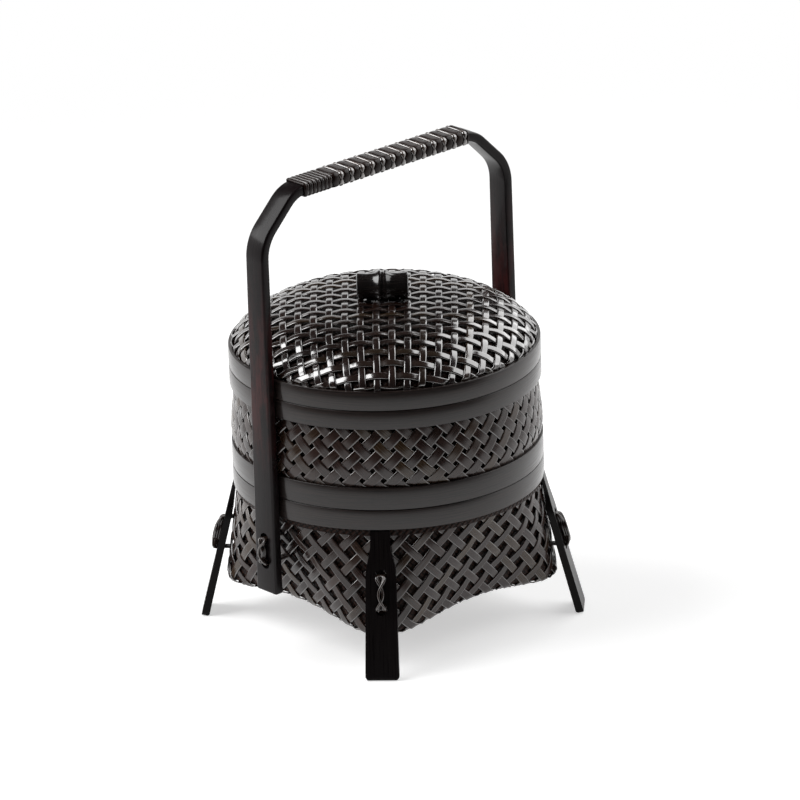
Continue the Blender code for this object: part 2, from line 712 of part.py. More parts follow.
def make_knob(group, cutters, mat):
    """A stub of bamboo: round, waisted, with a raised and grooved node, planed flat beneath."""
    half = KNOB_L / 2
    ease = KNOB_NODE_GROOVE
    side = [
        (0, half),
        (KNOB_END_R - ease, half),
        (KNOB_END_R, half - ease),
        (KNOB_WAIST_R, half * KNOB_WAIST_SHARE),
        ((KNOB_WAIST_R + KNOB_NODE_R) / 2, half * KNOB_SWELL_SHARE),
        (KNOB_NODE_R, half * KNOB_NODE_SHARE),
        (KNOB_NODE_R - ease, half * KNOB_GROOVE_SHARE),
    ]
    profile = side + [(r, -z) for r, z in reversed(side)]
    knob = turned("knob_turned", profile, KNOB_STEPS, group, mat, closed=False)
    knob = baked(knob, "lid_knob", group, mat)
    knob.data.transform(Matrix.Rotation(math.pi / 2, 4, "Y"))
    bm = bmesh.new()
    bm.from_mesh(knob.data)
    cutting = bmesh.ops.bisect_plane(
        bm,
        geom=bm.verts[:] + bm.edges[:] + bm.faces[:],
        plane_co=(0, 0, -KNOB_AXIS_H),
        plane_no=(0, 0, -1),
        clear_outer=True,
    )
    rim = [e for e in cutting["geom_cut"] if isinstance(e, bmesh.types.BMEdge)]
    bmesh.ops.contextual_create(bm, geom=rim)
    bm.to_mesh(knob.data)
    bm.free()
    shade_round(knob.data)
    knob.rotation_euler = (0, 0, math.radians(LID_TURN_DEG))
    knob.location = (0, 0, KNOB_Z + KNOB_AXIS_H)
    for place in knob_peg_places():
        start = (*place, KNOB_Z - CUT_OVERRUN)
        end = (*place, KNOB_Z + PEG_BITE)
        cut(knob, rod_cutter("knob_peg_hole", start, end, PEG_R + FIT, PEG_STEPS, cutters))


def make_knob_pegs(group, mat):
    """Two headed bamboo pegs, driven up through the dome into the knob."""
    under = DOME_TOP_Z - WEAVE_T - FIT
    shank_z = KNOB_Z + PEG_BITE - FIT
    profile = [
        (0, shank_z),
        (PEG_R, shank_z),
        (PEG_R, under),
        (PEG_HEAD_R, under),
        (PEG_HEAD_R, under - PEG_HEAD_H),
        (0, under - PEG_HEAD_H),
    ]
    for name, (x, y) in zip(("knob_peg_left", "knob_peg_right"), knob_peg_places()):
        peg = turned(name, profile, PEG_STEPS, group, mat, closed=False)
        peg.location = (x, y, 0)


def main():
    clear_scene()
    basket = new_collection("bamboo_basket")
    cutters = new_collection("cutters")
    lacquer = surface("lacquered bamboo", (0.012, 0.009, 0.008), 0.35)
    woven = surface("woven bamboo splint", (0.03, 0.02, 0.016), 0.4)
    rattan = surface("stained rattan", (0.03, 0.014, 0.01), 0.45)
    node = surface("polished bamboo node", (0.006, 0.006, 0.006), 0.18)

    weave = make_base(basket, cutters, woven)
    rim = outer_hoop("base_rim_hoop", BASE_HOOP_Z, BASE_HOOP_H, basket, lacquer)
    lip = inner_hoop("base_lip_hoop", BASE_HOOP_Z, BASE_RIM_Z + LIP_H, basket, lacquer)
    for side, turn in SIDE_TURNS.items():
        for piece in (rim, lip, weave):
            cut(piece, handle_peg_cutter(turn, cutters))
        make_handle_peg(f"handle_peg_{side}", turn, basket, rattan)
    mesh = leg_mesh(basket, cutters, lacquer)
    for name, turn in LEG_TURNS.items():
        leg = add_object(name, mesh, basket)
        leg.rotation_euler = (0, 0, turn)
    make_handle(basket, cutters, lacquer)
    make_wrap(basket, rattan)
    make_lashings(basket, rattan)

    make_tray(basket, woven)
    outer_hoop("tray_foot_hoop", TRAY_Z, TRAY_FOOT_H, basket, lacquer)
    make_foot_ring(basket, lacquer)
    outer_hoop("tray_rim_hoop", TRAY_TOP_Z - TRAY_RIM_H, TRAY_RIM_H, basket, lacquer)
    inner_hoop("tray_lip_hoop", TRAY_TOP_Z - TRAY_RIM_H, TRAY_TOP_Z + LIP_H, basket, lacquer)

    make_dome(basket, cutters, woven)
    outer_hoop("lid_rim_hoop", LID_Z, LID_RIM_H, basket, lacquer)
    lid_inner_low = TRAY_TOP_Z + LIP_H + FIT
    inner_hoop("lid_inner_hoop", lid_inner_low, DOME_Z - DOME_SWELL, basket, lacquer)
    make_knob(basket, cutters, node)
    make_knob_pegs(basket, rattan)


main()
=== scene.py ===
"""Dresses a tiered bamboo food basket: splint by splint weaves, bent hoops, a wrapped handle,
rattan ties and a turned knob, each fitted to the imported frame, with a pale stage and a camera."""

import math
from bisect import bisect_right

import bmesh
import bpy
from mathutils import Matrix, Vector


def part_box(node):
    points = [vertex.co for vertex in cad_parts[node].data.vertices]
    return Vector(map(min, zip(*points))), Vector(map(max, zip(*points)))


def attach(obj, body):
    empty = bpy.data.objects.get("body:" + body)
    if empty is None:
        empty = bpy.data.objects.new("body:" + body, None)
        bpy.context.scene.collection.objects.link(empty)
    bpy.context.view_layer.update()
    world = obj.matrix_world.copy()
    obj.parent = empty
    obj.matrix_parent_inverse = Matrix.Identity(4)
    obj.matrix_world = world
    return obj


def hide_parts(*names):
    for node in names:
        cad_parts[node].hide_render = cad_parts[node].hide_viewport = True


bl_info = {
    "name": "Tiered Bamboo Basket",
    "version": (1, 0, 0),
    "blender": (4, 5, 0),
    "location": "3D View > Sidebar > Basket",
    "description": "Weaves, binds and lacquers a tiered bamboo basket over its packed frame",
    "category": "Add Mesh",
}

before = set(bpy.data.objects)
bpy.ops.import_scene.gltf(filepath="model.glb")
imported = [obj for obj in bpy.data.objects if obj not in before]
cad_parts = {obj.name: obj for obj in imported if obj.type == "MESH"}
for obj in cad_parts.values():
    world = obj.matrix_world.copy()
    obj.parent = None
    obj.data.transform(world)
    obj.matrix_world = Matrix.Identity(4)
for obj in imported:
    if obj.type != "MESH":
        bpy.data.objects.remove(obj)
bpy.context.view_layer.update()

MM = 0.001
QUARTER = math.pi / 2
SPLINT_UV = "splint"
UV_ROW = 20 * MM  # step of the map between two splints, so that each has its own tone

# Measured from the frame: the radii and heights that the weaves are clamped to.
HOOP_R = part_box("base_rim_hoop")[1].x
HOOP_T = 1.6 * MM
INNER_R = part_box("base_lip_hoop")[1].x
INNER_T = 1.3 * MM
CLAMP_R = (HOOP_R - HOOP_T + INNER_R) / 2  # middle of the woven walls between their hoops
HOOP_EDGE = 0.18 * MM
HOOP_CROWN = 0.06 * MM

# The base: round at its hoop, square with hanging corners at its floor.
BASE_HOOP_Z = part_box("base_rim_hoop")[0].z
BASE_RIM_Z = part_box("base_rim_hoop")[1].z
FLOOR_Z = 20.0 * MM
WALL_T = 1.0 * MM
LINING_T = 0.25 * MM
LINING_IN = 1.25 * MM  # from the middle of the open weave in to its lining
LINING_EDGE_IN = 0.55 * MM  # the same round the base's floor and its edge
HOOP_GAP = 0.1 * MM  # between a lining's edge and the hoop over or under it
BINDING_OUT = 0.85 * MM  # from the middle of the open weave out to the splint that binds it
SQUARE_HALF = 55.5 * MM
SQUARE_CORNER_R = 18.0 * MM
FLOOR_EDGE_R = 3.5 * MM
CORNER_DROP = 4.5 * MM
CORNER_DROP_POWER = 2.6
FLOOR_HANG_POWER = 4.0
BASE_COUNT = 38  # splints that lean each way
BASE_LEVELS = 7.75  # crossings from the hoop down to the floor's edge

# The tray: a slightly swelling wall on a clamped foot.
TRAY_RIM_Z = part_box("tray_rim_hoop")[0].z
TRAY_TOP_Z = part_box("tray_basket")[1].z
TRAY_FOOT_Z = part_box("tray_foot_hoop")[1].z
TRAY_FLOOR_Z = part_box("tray_basket")[0].z
TRAY_SWELL = 1.9 * MM
TRAY_SWELL_SHARES = ((0.0, 0.0), (0.35, 0.55), (0.72, 1.0), (0.93, 0.72), (1.06, 0.0))
TRAY_CORNER_R = 2.6 * MM
TRAY_COUNT = 46

# The lid: a low dome whose splints run along and across the knob.
LID_TURN = math.radians(-41.8)
DOME_FOOT_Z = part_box("lid_rim_hoop")[1].z + 1.0 * MM
DOME_TOP_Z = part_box("lid_dome")[1].z
DOME_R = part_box("lid_dome")[1].x
DOME_PLAN_POWER = 4.0
DOME_RISE_POWER = 0.82
SKIRT_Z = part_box("lid_dome")[0].z
LID_COLUMN_START = -16.2 * MM

# The handle's bar and its wrapping.
BAR_T = 4.2 * MM
BAR_OUT_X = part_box("handle_bar")[1].x
BAR_FOOT_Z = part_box("handle_bar")[0].z
BAR_MID_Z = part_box("handle_bar")[1].z - BAR_T / 2
BAR_TOP_W = 10.4 * MM
BAR_FOOT_W = 12.4 * MM
SHOULDER_DROP = 18.5 * MM
LOWER_BEND_R = 18.0 * MM
UPPER_BEND_R = 14.0 * MM

WRAP_PLAIN = (7, 1)  # plain turns at the left and the right end
WRAP_PLAIN_PITCH = 2.15 * MM
WRAP_REPEATS = 13  # pairs of a wide and a narrow turn between them

# The legs, and the ties that hold them and the handle.
LEG_TIP_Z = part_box("leg_front_left")[1].z
LEG_THIN_Z = LEG_TIP_Z - 15.7 * MM
LEG_THIN_R = 70.371 * MM
LEG_TIP_R = 66.3 * MM
LEG_SPLAY = 0.25948
FOOT_EASE = 0.9 * MM  # how far a leg's foot is eased round its edge
LASH_SHARES = {"leg": (0.44, 0.757), "bar": (0.253, 0.536)}
LASH_HOLE_R = 2.6 * MM


# Sizes and colours


def linear(code):
    """An sRGB hex colour as linear red, green, blue and alpha."""
    parts = [int(code[i : i + 2], 16) / 255 for i in (1, 3, 5)]
    return tuple(p / 12.92 if p <= 0.04045 else ((p + 0.055) / 1.055) ** 2.4 for p in parts) + (1,)


def length(name, description, default):
    return bpy.props.FloatProperty(
        name=name,
        description=description,
        default=default,
        min=0.0,
        unit="LENGTH",
        subtype="DISTANCE",
        precision=5,
    )


def colour(name, description, code):
    return bpy.props.FloatVectorProperty(
        name=name,
        description=description,
        default=linear(code),
        size=4,
        min=0.0,
        max=1.0,
        subtype="COLOR",
    )


class BasketWeaves(bpy.types.PropertyGroup):
    """Sizes of the splints that the basket is woven from."""

    base_width: length("Base splint", "Width of a splint in the base's open wall", 3.5 * MM)
    tray_width: length("Tray splint", "Width of a splint in the tray's close wall", 4.45 * MM)
    lid_width: length("Lid splint", "Width of a splint in the lid", 3.0 * MM)
    floor_pitch: length("Floor pitch", "Distance between two splints of a floor", 7.7 * MM)
    lid_column: length("Lid column pitch", "Distance between splints across the knob", 6.65 * MM)
    lid_row: length("Lid row pitch", "Distance between splints along the knob", 6.35 * MM)
    wall_thickness: length("Wall splint thickness", "Thickness of a wall's splint", 0.44 * MM)
    lid_thickness: length("Lid splint thickness", "Thickness of a lid's splint", 0.6 * MM)
    wall_crimp: length("Wall crimp", "How far a wall's splint weaves in and out", 0.25 * MM)
    lid_crimp: length("Lid crimp", "How far a lid's splint weaves up and down", 0.38 * MM)


class BasketBindings(bpy.types.PropertyGroup):
    """Sizes of the rattan that wraps the handle and ties the legs."""

    wrap_repeat: length("Wrap repeat", "Length of the handle that one pair of turns takes", 5.82 * MM)
    wrap_run: length("Wrapped length", "Length of the handle's top that is wrapped", 93.4 * MM)
    cane_thickness: length("Cane thickness", "Thickness of the wrapping's flat cane", 0.75 * MM)
    tie_radius: length("Tie radius", "Radius of a tie's strand", 0.55 * MM)


class BasketColours(bpy.types.PropertyGroup):
    """Colours of the stains and lacquers."""

    splint_dark: colour("Splint, dark", "Stained splints in their darkest streaks", "#170c09")
    splint_light: colour("Splint, light", "Stained splints where the stain is thin", "#33211b")
    splint_brown: colour("Splint, brown", "Splints that took a browner stain", "#40301c")
    lid_dark: colour("Lid splint, dark", "The lid's splints in their darkest streaks", "#0a0504")
    lid_light: colour("Lid splint, light", "The lid's splints where the stain is thin", "#2b160e")
    hoop_dark: colour("Hoop, dark", "Lacquer of the bent hoops", "#0e0a09")
    hoop_light: colour("Hoop, light", "Grain that shows through the hoops' lacquer", "#2a201d")
    bar_dark: colour("Bar, dark", "Lacquer of the handle and the legs", "#0b0809")
    bar_light: colour("Bar, rubbed", "Red undercoat where the lacquer is rubbed", "#3a1a1a")
    cane_dark: colour("Cane, dark", "Stained rattan in its pores", "#0b0505")
    cane_brown: colour("Cane, brown", "Broad cane where its stain is thin", "#2b1c17")
    # Partly painted highlight: this lighter crown colour stands for lamp glints as well as worn stain.
    cane_wear_and_highlight: colour("Cane, light", "Narrow cane on its worn crown", "#66544a")
    knob: colour("Knob", "Gloss lacquer of the knob", "#0c0b0c")
    floor: colour("Floor", "Pale floor under the basket", "#dcdcdc")


# Materials


def add_node(tree, kind, values=None, links=None, **settings):
    """A new node with its settings, its sockets' values and the outputs linked into it."""
    node = tree.nodes.new(kind)
    for name, value in settings.items():
        setattr(node, name, value)
    for socket, value in (values or {}).items():
        node.inputs[socket].default_value = value
    for socket, source in (links or {}).items():
        tree.links.new(source, node.inputs[socket])
    return node


def new_finish(name, **values):
    """An empty Principled material, with the values of its shader's own sockets."""
    material = bpy.data.materials.new(name)
    material.use_nodes = True
    shader = material.node_tree.nodes["Principled BSDF"]
    for socket, value in values.items():
        shader.inputs[socket.replace("_", " ")].default_value = value
    return material, material.node_tree, shader


def grained(tree, shader, dark, light, grain, tone_share, rough, bump):
    """Fibres along the piece's own map, a tone for each splint, and the gloss that they break.
    grain is the length and width of a fibre bundle, and rough the gloss's range. Returns the
    colour, and the splint's row and its random values."""
    place = add_node(tree, "ShaderNodeUVMap", uv_map=SPLINT_UV).outputs["UV"]
    axes = add_node(tree, "ShaderNodeSeparateXYZ", links={0: place})
    row = add_node(
        tree, "ShaderNodeMath", {1: 1 / UV_ROW}, {0: axes.outputs["Y"]}, operation="MULTIPLY"
    )
    row = add_node(tree, "ShaderNodeMath", {1: 0.5}, {0: row.outputs[0]}, operation="ADD")
    row = add_node(tree, "ShaderNodeMath", links={0: row.outputs[0]}, operation="FLOOR")
    tone = add_node(
        tree, "ShaderNodeTexWhiteNoise", links={"W": row.outputs[0]}, noise_dimensions="1D"
    )
    stretch = add_node(
        tree, "ShaderNodeMapping", {"Scale": (1 / grain[0], 1 / grain[1], 1)}, {"Vector": place}
    )
    fibre = add_node(
        tree,
        "ShaderNodeTexNoise",
        {"Scale": 1.0, "Detail": 3.0, "Roughness": 0.6},
        {"Vector": stretch.outputs["Vector"]},
        noise_dimensions="2D",
    )
    spread = add_node(
        tree,
        "ShaderNodeMapRange",
        {"From Min": 0.3, "From Max": 0.7},
        {"Value": fibre.outputs["Fac"]},
    )
    blend = add_node(
        tree,
        "ShaderNodeMix",
        {"Factor": tone_share},
        {"A": spread.outputs["Result"], "B": tone.outputs["Value"]},
        data_type="FLOAT",
    )
    paint = add_node(
        tree,
        "ShaderNodeMix",
        {6: dark, 7: light},
        {"Factor": blend.outputs["Result"]},
        data_type="RGBA",
    )
    tree.links.new(paint.outputs[2], shader.inputs["Base Color"])
    gloss = add_node(
        tree,
        "ShaderNodeMapRange",
        {"To Min": rough[0], "To Max": rough[1]},
        {"Value": blend.outputs["Result"]},
    )
    tree.links.new(gloss.outputs["Result"], shader.inputs["Roughness"])
    ridge = add_node(
        tree,
        "ShaderNodeBump",
        {"Strength": 0.35, "Distance": bump},
        {"Height": fibre.outputs["Fac"]},
    )
    tree.links.new(ridge.outputs["Normal"], shader.inputs["Normal"])
    return paint, axes.outputs["Y"], tone.outputs["Color"]


def stained_splint(name, width, dark, light, coat, coat_ior, coat_rough):
    """Split bamboo, planed flat, stained brown-black and lacquered. The eye gets fine fibres along
    each splint, a tone and a tint of its own for each, and bright lines where the lacquer has
    gathered along its edges. width is the splint's, and coat the lacquer on its flat face."""
    tones = bpy.context.scene.basket_colours
    material, tree, shader = new_finish(
        name, Specular_IOR_Level=0.4, Coat_IOR=coat_ior, Coat_Roughness=coat_rough
    )
    paint, across, chance = grained(
        tree,
        shader,
        dark,
        light,
        (14 * MM, 0.45 * MM),
        0.45,
        (0.2, 0.36),
        0.05 * MM,
    )
    # Some splints took a browner stain.
    parts = add_node(tree, "ShaderNodeSeparateColor", links={0: chance})
    brown = add_node(
        tree,
        "ShaderNodeMapRange",
        {"From Min": 0.55, "From Max": 1.0, "To Max": 0.7},
        {"Value": parts.outputs["Green"]},
    )
    tint = add_node(
        tree,
        "ShaderNodeMix",
        {7: tones.splint_brown},
        {"Factor": brown.outputs["Result"], 6: paint.outputs[2]},
        data_type="RGBA",
    )
    tree.links.new(tint.outputs[2], shader.inputs["Base Color"])
    # Distance from the splint's middle line, and the lacquer that it gives.
    rows = add_node(tree, "ShaderNodeMath", {1: 1 / UV_ROW}, {0: across}, operation="MULTIPLY")
    near = add_node(tree, "ShaderNodeMath", links={0: rows.outputs[0]}, operation="ROUND")
    aside = add_node(
        tree,
        "ShaderNodeMath",
        links={0: rows.outputs[0], 1: near.outputs[0]},
        operation="SUBTRACT",
    )
    away = add_node(tree, "ShaderNodeMath", links={0: aside.outputs[0]}, operation="ABSOLUTE")
    rim = add_node(
        tree,
        "ShaderNodeMapRange",
        {
            "From Min": (width / 2 - 0.45 * MM) / UV_ROW,
            "From Max": (width / 2 - 0.2 * MM) / UV_ROW,
            "To Min": coat,
            "To Max": 1.0,
        },
        {"Value": away.outputs[0]},
    )
    tree.links.new(rim.outputs["Result"], shader.inputs["Coat Weight"])
    return material


def wall_splint(name, width):
    """Splints of a wall or a floor: brown-black stain under a thin satin lacquer."""
    tones = bpy.context.scene.basket_colours
    return stained_splint(name, width, tones.splint_dark, tones.splint_light, 0.12, 2.0, 0.1)


def lid_splint(name, width):
    """Splints of the lid: a deeper stain under many coats, so that they shine like glass."""
    tones = bpy.context.scene.basket_colours
    return stained_splint(name, width, tones.lid_dark, tones.lid_light, 1.0, 2.4, 0.14)


def lining_with_painted_shade():
    """A second, finer layer of stained splints, woven on the slant behind the open weave, its dark end
    near black as painted shade of the basket's inside. The eye gets narrow dark bands in two
    directions at the bottom of each opening, part the layer's stain and part painted shade."""
    tones = bpy.context.scene.basket_colours
    material, tree, shader = new_finish("woven_lining_and_painted_shade", Specular_IOR_Level=0.12)
    place = add_node(tree, "ShaderNodeUVMap", uv_map=SPLINT_UV).outputs["UV"]
    # Splints 2 mm wide, at 45 degrees to the wall.
    turned = add_node(
        tree,
        "ShaderNodeMapping",
        {"Rotation": (0, 0, QUARTER / 2), "Scale": (1 / (2 * MM), 1 / (2 * MM), 1)},
        {"Vector": place},
    )
    checks = add_node(
        tree, "ShaderNodeTexChecker", {"Scale": 1.0}, {"Vector": turned.outputs["Vector"]}
    )
    bands = []
    for way in ("X", "Y"):
        bands.append(
            add_node(
                tree,
                "ShaderNodeTexWave",
                {"Scale": math.pi / 10, "Distortion": 0.4, "Detail": 1.0},
                {"Vector": turned.outputs["Vector"]},
                wave_type="BANDS",
                bands_direction=way,
                wave_profile="SIN",
            )
        )
    weave = add_node(
        tree,
        "ShaderNodeMix",
        links={
            "Factor": checks.outputs["Fac"],
            "A": bands[0].outputs["Fac"],
            "B": bands[1].outputs["Fac"],
        },
        data_type="FLOAT",
    )
    # Near black at the dark end: painted shade of the basket's inside, over the inner layer's own stain.
    paint = add_node(
        tree,
        "ShaderNodeMix",
        {6: linear("#040302"), 7: tones.splint_light},
        {"Factor": weave.outputs["Result"]},
        data_type="RGBA",
    )
    tree.links.new(paint.outputs[2], shader.inputs["Base Color"])
    shader.inputs["Roughness"].default_value = 0.45
    ridge = add_node(
        tree,
        "ShaderNodeBump",
        {"Strength": 0.6, "Distance": 0.3 * MM},
        {"Height": weave.outputs["Result"]},
    )
    tree.links.new(ridge.outputs["Normal"], shader.inputs["Normal"])
    return material


def lacquered_hoop():
    """Bent bamboo splint under a thin charcoal lacquer: a satin face whose long grain shows as
    pale level streaks, with the gloss broken where the grain is raised."""
    tones = bpy.context.scene.basket_colours
    material, tree, shader = new_finish(
        "lacquered_bent_bamboo", Specular_IOR_Level=0.2, Coat_Weight=0.6, Coat_Roughness=0.12
    )
    grained(
        tree,
        shader,
        tones.hoop_dark,
        tones.hoop_light,
        (22 * MM, 0.5 * MM),
        0.15,
        (0.3, 0.5),
        0.06 * MM,
    )
    return material


def rubbed_lacquer():
    """Black lacquer over a red undercoat on solid bamboo, rubbed through in patches where hands
    hold it: near black, with red-brown clouds along the handle's grain, and a satin gloss."""
    tones = bpy.context.scene.basket_colours
    material, tree, shader = new_finish(
        "rubbed_lacquer_bamboo", Specular_IOR_Level=0.08, Coat_Weight=0.22, Coat_Roughness=0.16
    )
    paint, _, _ = grained(
        tree,
        shader,
        tones.bar_dark,
        linear("#191213"),
        (26 * MM, 0.6 * MM),
        0.1,
        (0.26, 0.42),
        0.05 * MM,
    )
    place = add_node(tree, "ShaderNodeTexCoord").outputs["Object"]
    # Rubbed clouds some 18 mm long up the bar and 4 mm across it.
    stretch = add_node(
        tree,
        "ShaderNodeMapping",
        {"Scale": (1 / (5 * MM), 1 / (5 * MM), 1 / (20 * MM))},
        {"Vector": place},
    )
    cloud = add_node(
        tree,
        "ShaderNodeTexNoise",
        {"Scale": 1.0, "Detail": 4.0, "Roughness": 0.65},
        {"Vector": stretch.outputs["Vector"]},
    )
    cloudy = add_node(
        tree,
        "ShaderNodeMapRange",
        {"From Min": 0.42, "From Max": 0.62},
        {"Value": cloud.outputs["Fac"]},
    )
    height = add_node(tree, "ShaderNodeSeparateXYZ", links={0: place})
    held = add_node(
        tree,
        "ShaderNodeMapRange",
        {"From Min": BASE_RIM_Z, "From Max": TRAY_TOP_Z},
        {"Value": height.outputs["Z"]},
        interpolation_type="SMOOTHSTEP",
    )
    spared = add_node(
        tree,
        "ShaderNodeMapRange",
        {"From Min": BAR_MID_Z - SHOULDER_DROP, "From Max": DOME_TOP_Z - 20 * MM},
        {"Value": height.outputs["Z"]},
        interpolation_type="SMOOTHSTEP",
    )
    span = add_node(
        tree,
        "ShaderNodeMath",
        links={0: held.outputs["Result"], 1: spared.outputs["Result"]},
        operation="MULTIPLY",
    )
    rubbed = add_node(
        tree,
        "ShaderNodeMath",
        links={0: cloudy.outputs["Result"], 1: span.outputs["Value"]},
        operation="MULTIPLY",
    )
    worn = add_node(
        tree,
        "ShaderNodeMix",
        {7: tones.bar_light},
        {"Factor": rubbed.outputs["Value"], 6: paint.outputs[2]},
        data_type="RGBA",
    )
    tree.links.new(worn.outputs[2], shader.inputs["Base Color"])
    return material


def leg_lacquer():
    """Black lacquer on solid bamboo, unworn: jet black, with a low gloss along a faint grain."""
    tones = bpy.context.scene.basket_colours
    material, tree, shader = new_finish("black_lacquer_bamboo", Specular_IOR_Level=0.1)
    grained(
        tree,
        shader,
        tones.bar_dark,
        linear("#120e0e"),
        (26 * MM, 0.6 * MM),
        0.1,
        (0.24, 0.38),
        0.05 * MM,
    )
    return material


def stained_cane(name, dark, light, coat, coat_ior):
    """Flat rattan cane, stained red-brown and lacquered: a shining crown with lighter streaks where the
    stain has not taken, dark at the edges and in the pores. On the narrow lacing cane the lighter
    colour is also a painted highlight."""
    material, tree, shader = new_finish(
        name, Coat_Weight=coat, Coat_IOR=coat_ior, Coat_Roughness=0.1
    )
    grained(tree, shader, dark, light, (5 * MM, 0.35 * MM), 0.3, (0.2, 0.4), 0.05 * MM)
    return material


def dark_cane():
    """The handle's broad cane: a deep stain that takes most of the gloss."""
    tones = bpy.context.scene.basket_colours
    material = stained_cane("dark_rattan_cane", tones.cane_dark, tones.cane_brown, 0.2, 1.5)
    shader = material.node_tree.nodes["Principled BSDF"]
    shader.inputs["Specular IOR Level"].default_value = 0.15
    return material


def bright_cane():
    """Narrow cane that stands proud in the handle's lacing: its crown is painted lighter, part worn-off
    stain and part painted highlight, and thick lacquer makes it shine."""
    tones = bpy.context.scene.basket_colours
    return stained_cane("bright_rattan_cane", tones.cane_dark, tones.cane_wear_and_highlight, 1.0, 2.4)


def tie_cane():
    """Rattan of the ties and of the handle's plain turns, wound wet: near black in its furrows,
    with a low shine and a few worn brown fibres on top."""
    tones = bpy.context.scene.basket_colours
    return stained_cane("tie_rattan_cane", tones.cane_dark, linear("#3f3029"), 0.5, 1.9)


def gloss_knob():
    """A short bamboo culm, turned smooth and dipped in black gloss lacquer: deep black with soft
    window-like highlights, and a faint brown grain under the gloss."""
    tones = bpy.context.scene.basket_colours
    material, tree, shader = new_finish("gloss_lacquer_culm", Coat_Weight=1.0, Coat_Roughness=0.11)
    grained(
        tree,
        shader,
        tones.knob,
        linear("#1d1614"),
        (9 * MM, 0.5 * MM),
        0.1,
        (0.18, 0.3),
        0.03 * MM,
    )
    return material


def peg_end():
    """Cut end of a bamboo peg under lacquer: dark, with the pale dots of its fibre bundles."""
    tones = bpy.context.scene.basket_colours
    material, tree, shader = new_finish("lacquered_peg_end", Coat_Weight=0.4, Coat_Roughness=0.2)
    place = add_node(tree, "ShaderNodeTexCoord").outputs["Object"]
    # Fibre bundles about 0.4 mm apart.
    dots = add_node(
        tree, "ShaderNodeTexVoronoi", {"Scale": 1 / (0.4 * MM)}, {"Vector": place}, feature="F1"
    )
    paint = add_node(
        tree,
        "ShaderNodeMix",
        {6: tones.hoop_light, 7: tones.hoop_dark},
        {"Factor": dots.outputs["Distance"]},
        data_type="RGBA",
    )
    tree.links.new(paint.outputs[2], shader.inputs["Base Color"])
    gloss = add_node(
        tree,
        "ShaderNodeMapRange",
        {"To Min": 0.3, "To Max": 0.5},
        {"Value": dots.outputs["Distance"]},
    )
    tree.links.new(gloss.outputs["Result"], shader.inputs["Roughness"])
    return material


def finish_named(name, maker):
    """A material that is made once and then shared."""
    return bpy.data.materials.get(name) or maker()


# Shapes


def finished(bm, name, body, nodes, material, smooth=35.0):
    """The bmesh as a piece in its place, with its material, its body and the nodes it stands for."""
    bmesh.ops.recalc_face_normals(bm, faces=bm.faces)
    mesh = bpy.data.meshes.new(name)
    bm.to_mesh(mesh)
    bm.free()
    if not mesh.polygons:
        raise RuntimeError(f"{name} has no faces")
    mesh.materials.append(material)
    mesh.shade_smooth()
    mesh.set_sharp_from_angle(angle=math.radians(smooth))
    piece = bpy.data.objects.new(name, mesh)
    bpy.context.scene.collection.objects.link(piece)
    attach(piece, body)
    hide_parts(*nodes)
    return piece


def lay_strip(bm, rail, index, width, thickness, across=6, crown=0.08, edge=0.3 * MM, closed=False):
    """One strip along a rail of (point, outward direction) pairs: a grid given its thickness. Six
    rows across give it a flat face between rounded edges, and two leave it square. width may be a
    list, one for each pair. Its map runs along and across it."""
    uv = bm.loops.layers.uv.get(SPLINT_UV) or bm.loops.layers.uv.new(SPLINT_UV)
    count = len(rail)
    widths = width if isinstance(width, list) else [width] * count
    grid = bmesh.ops.create_grid(bm, x_segments=count - 1, y_segments=across, size=0.5)
    upper = set(grid["verts"])
    faces = list({face for vert in upper for face in vert.link_faces})
    made = bmesh.ops.extrude_face_region(bm, geom=faces, use_keep_orig=True)["geom"]
    lower = [g for g in made if isinstance(g, bmesh.types.BMVert)]
    points = [p for p, _ in rail]
    runs = [0.0]
    for a, b in zip(points, points[1:]):
        runs.append(runs[-1] + (b - a).length)
    frames = []
    for i, (point, out) in enumerate(rail):
        if closed:
            ahead, behind = points[(i + 1) % (count - 1)], points[(i - 1) % (count - 1)]
        else:
            ahead, behind = points[min(i + 1, count - 1)], points[max(i - 1, 0)]
        along = (ahead - behind).normalized()
        side = out.cross(along).normalized()
        frames.append((point, side, along.cross(side).normalized()))
    maps = {}
    for verts, level in ((upper, 1), (lower, -1)):
        for vert in verts:
            i = round((vert.co.x + 0.5) * (count - 1))
            share = 2 * vert.co.y
            if across == 6 and 0.1 < abs(share) < 0.9:
                shoulder = 1 - 2 * edge / widths[i]
                share = math.copysign(shoulder * (1.0 if abs(share) > 0.5 else 0.7), share)
            point, side, out = frames[i]
            rise = level * thickness / 2
            if level > 0 and across == 6:
                rise -= thickness * (0.5 if abs(share) > 0.99 else crown * share * share)
            place = share * widths[i] / 2
            vert.co = point + side * place + out * rise
            maps[vert] = (runs[i], place + index * UV_ROW)
    done = {face for vert in maps for face in vert.link_faces}
    for face in done:
        for loop in face.loops:
            loop[uv].uv = maps[loop.vert]
    return done


def crimp(phase):
    """How far a woven strip stands out at a phase that counts its crossings, flat on each."""
    c = math.cos(math.pi * phase)
    return c * (1.5 - 0.5 * c * c)


def rail_on(surface, places, lift):
    """Points on a surface function of two numbers, raised by a lift for each place."""
    rail = []
    for a, b, phase in places:
        point = surface(a, b)
        across = surface(a + 1e-4, b) - surface(a - 1e-4, b)
        down = surface(a, b + 1e-3) - surface(a, b - 1e-3)
        out = across.cross(down).normalized()
        if out.dot(Vector((point.x, point.y, 0))) < 0:
            out = -out
        rail.append((point + out * lift * crimp(phase), out))
    return rail


def steps_between(low, high, per_unit):
    count = max(int(round((high - low) * per_unit)), 2)
    return [low + (high - low) * i / count for i in range(count + 1)]


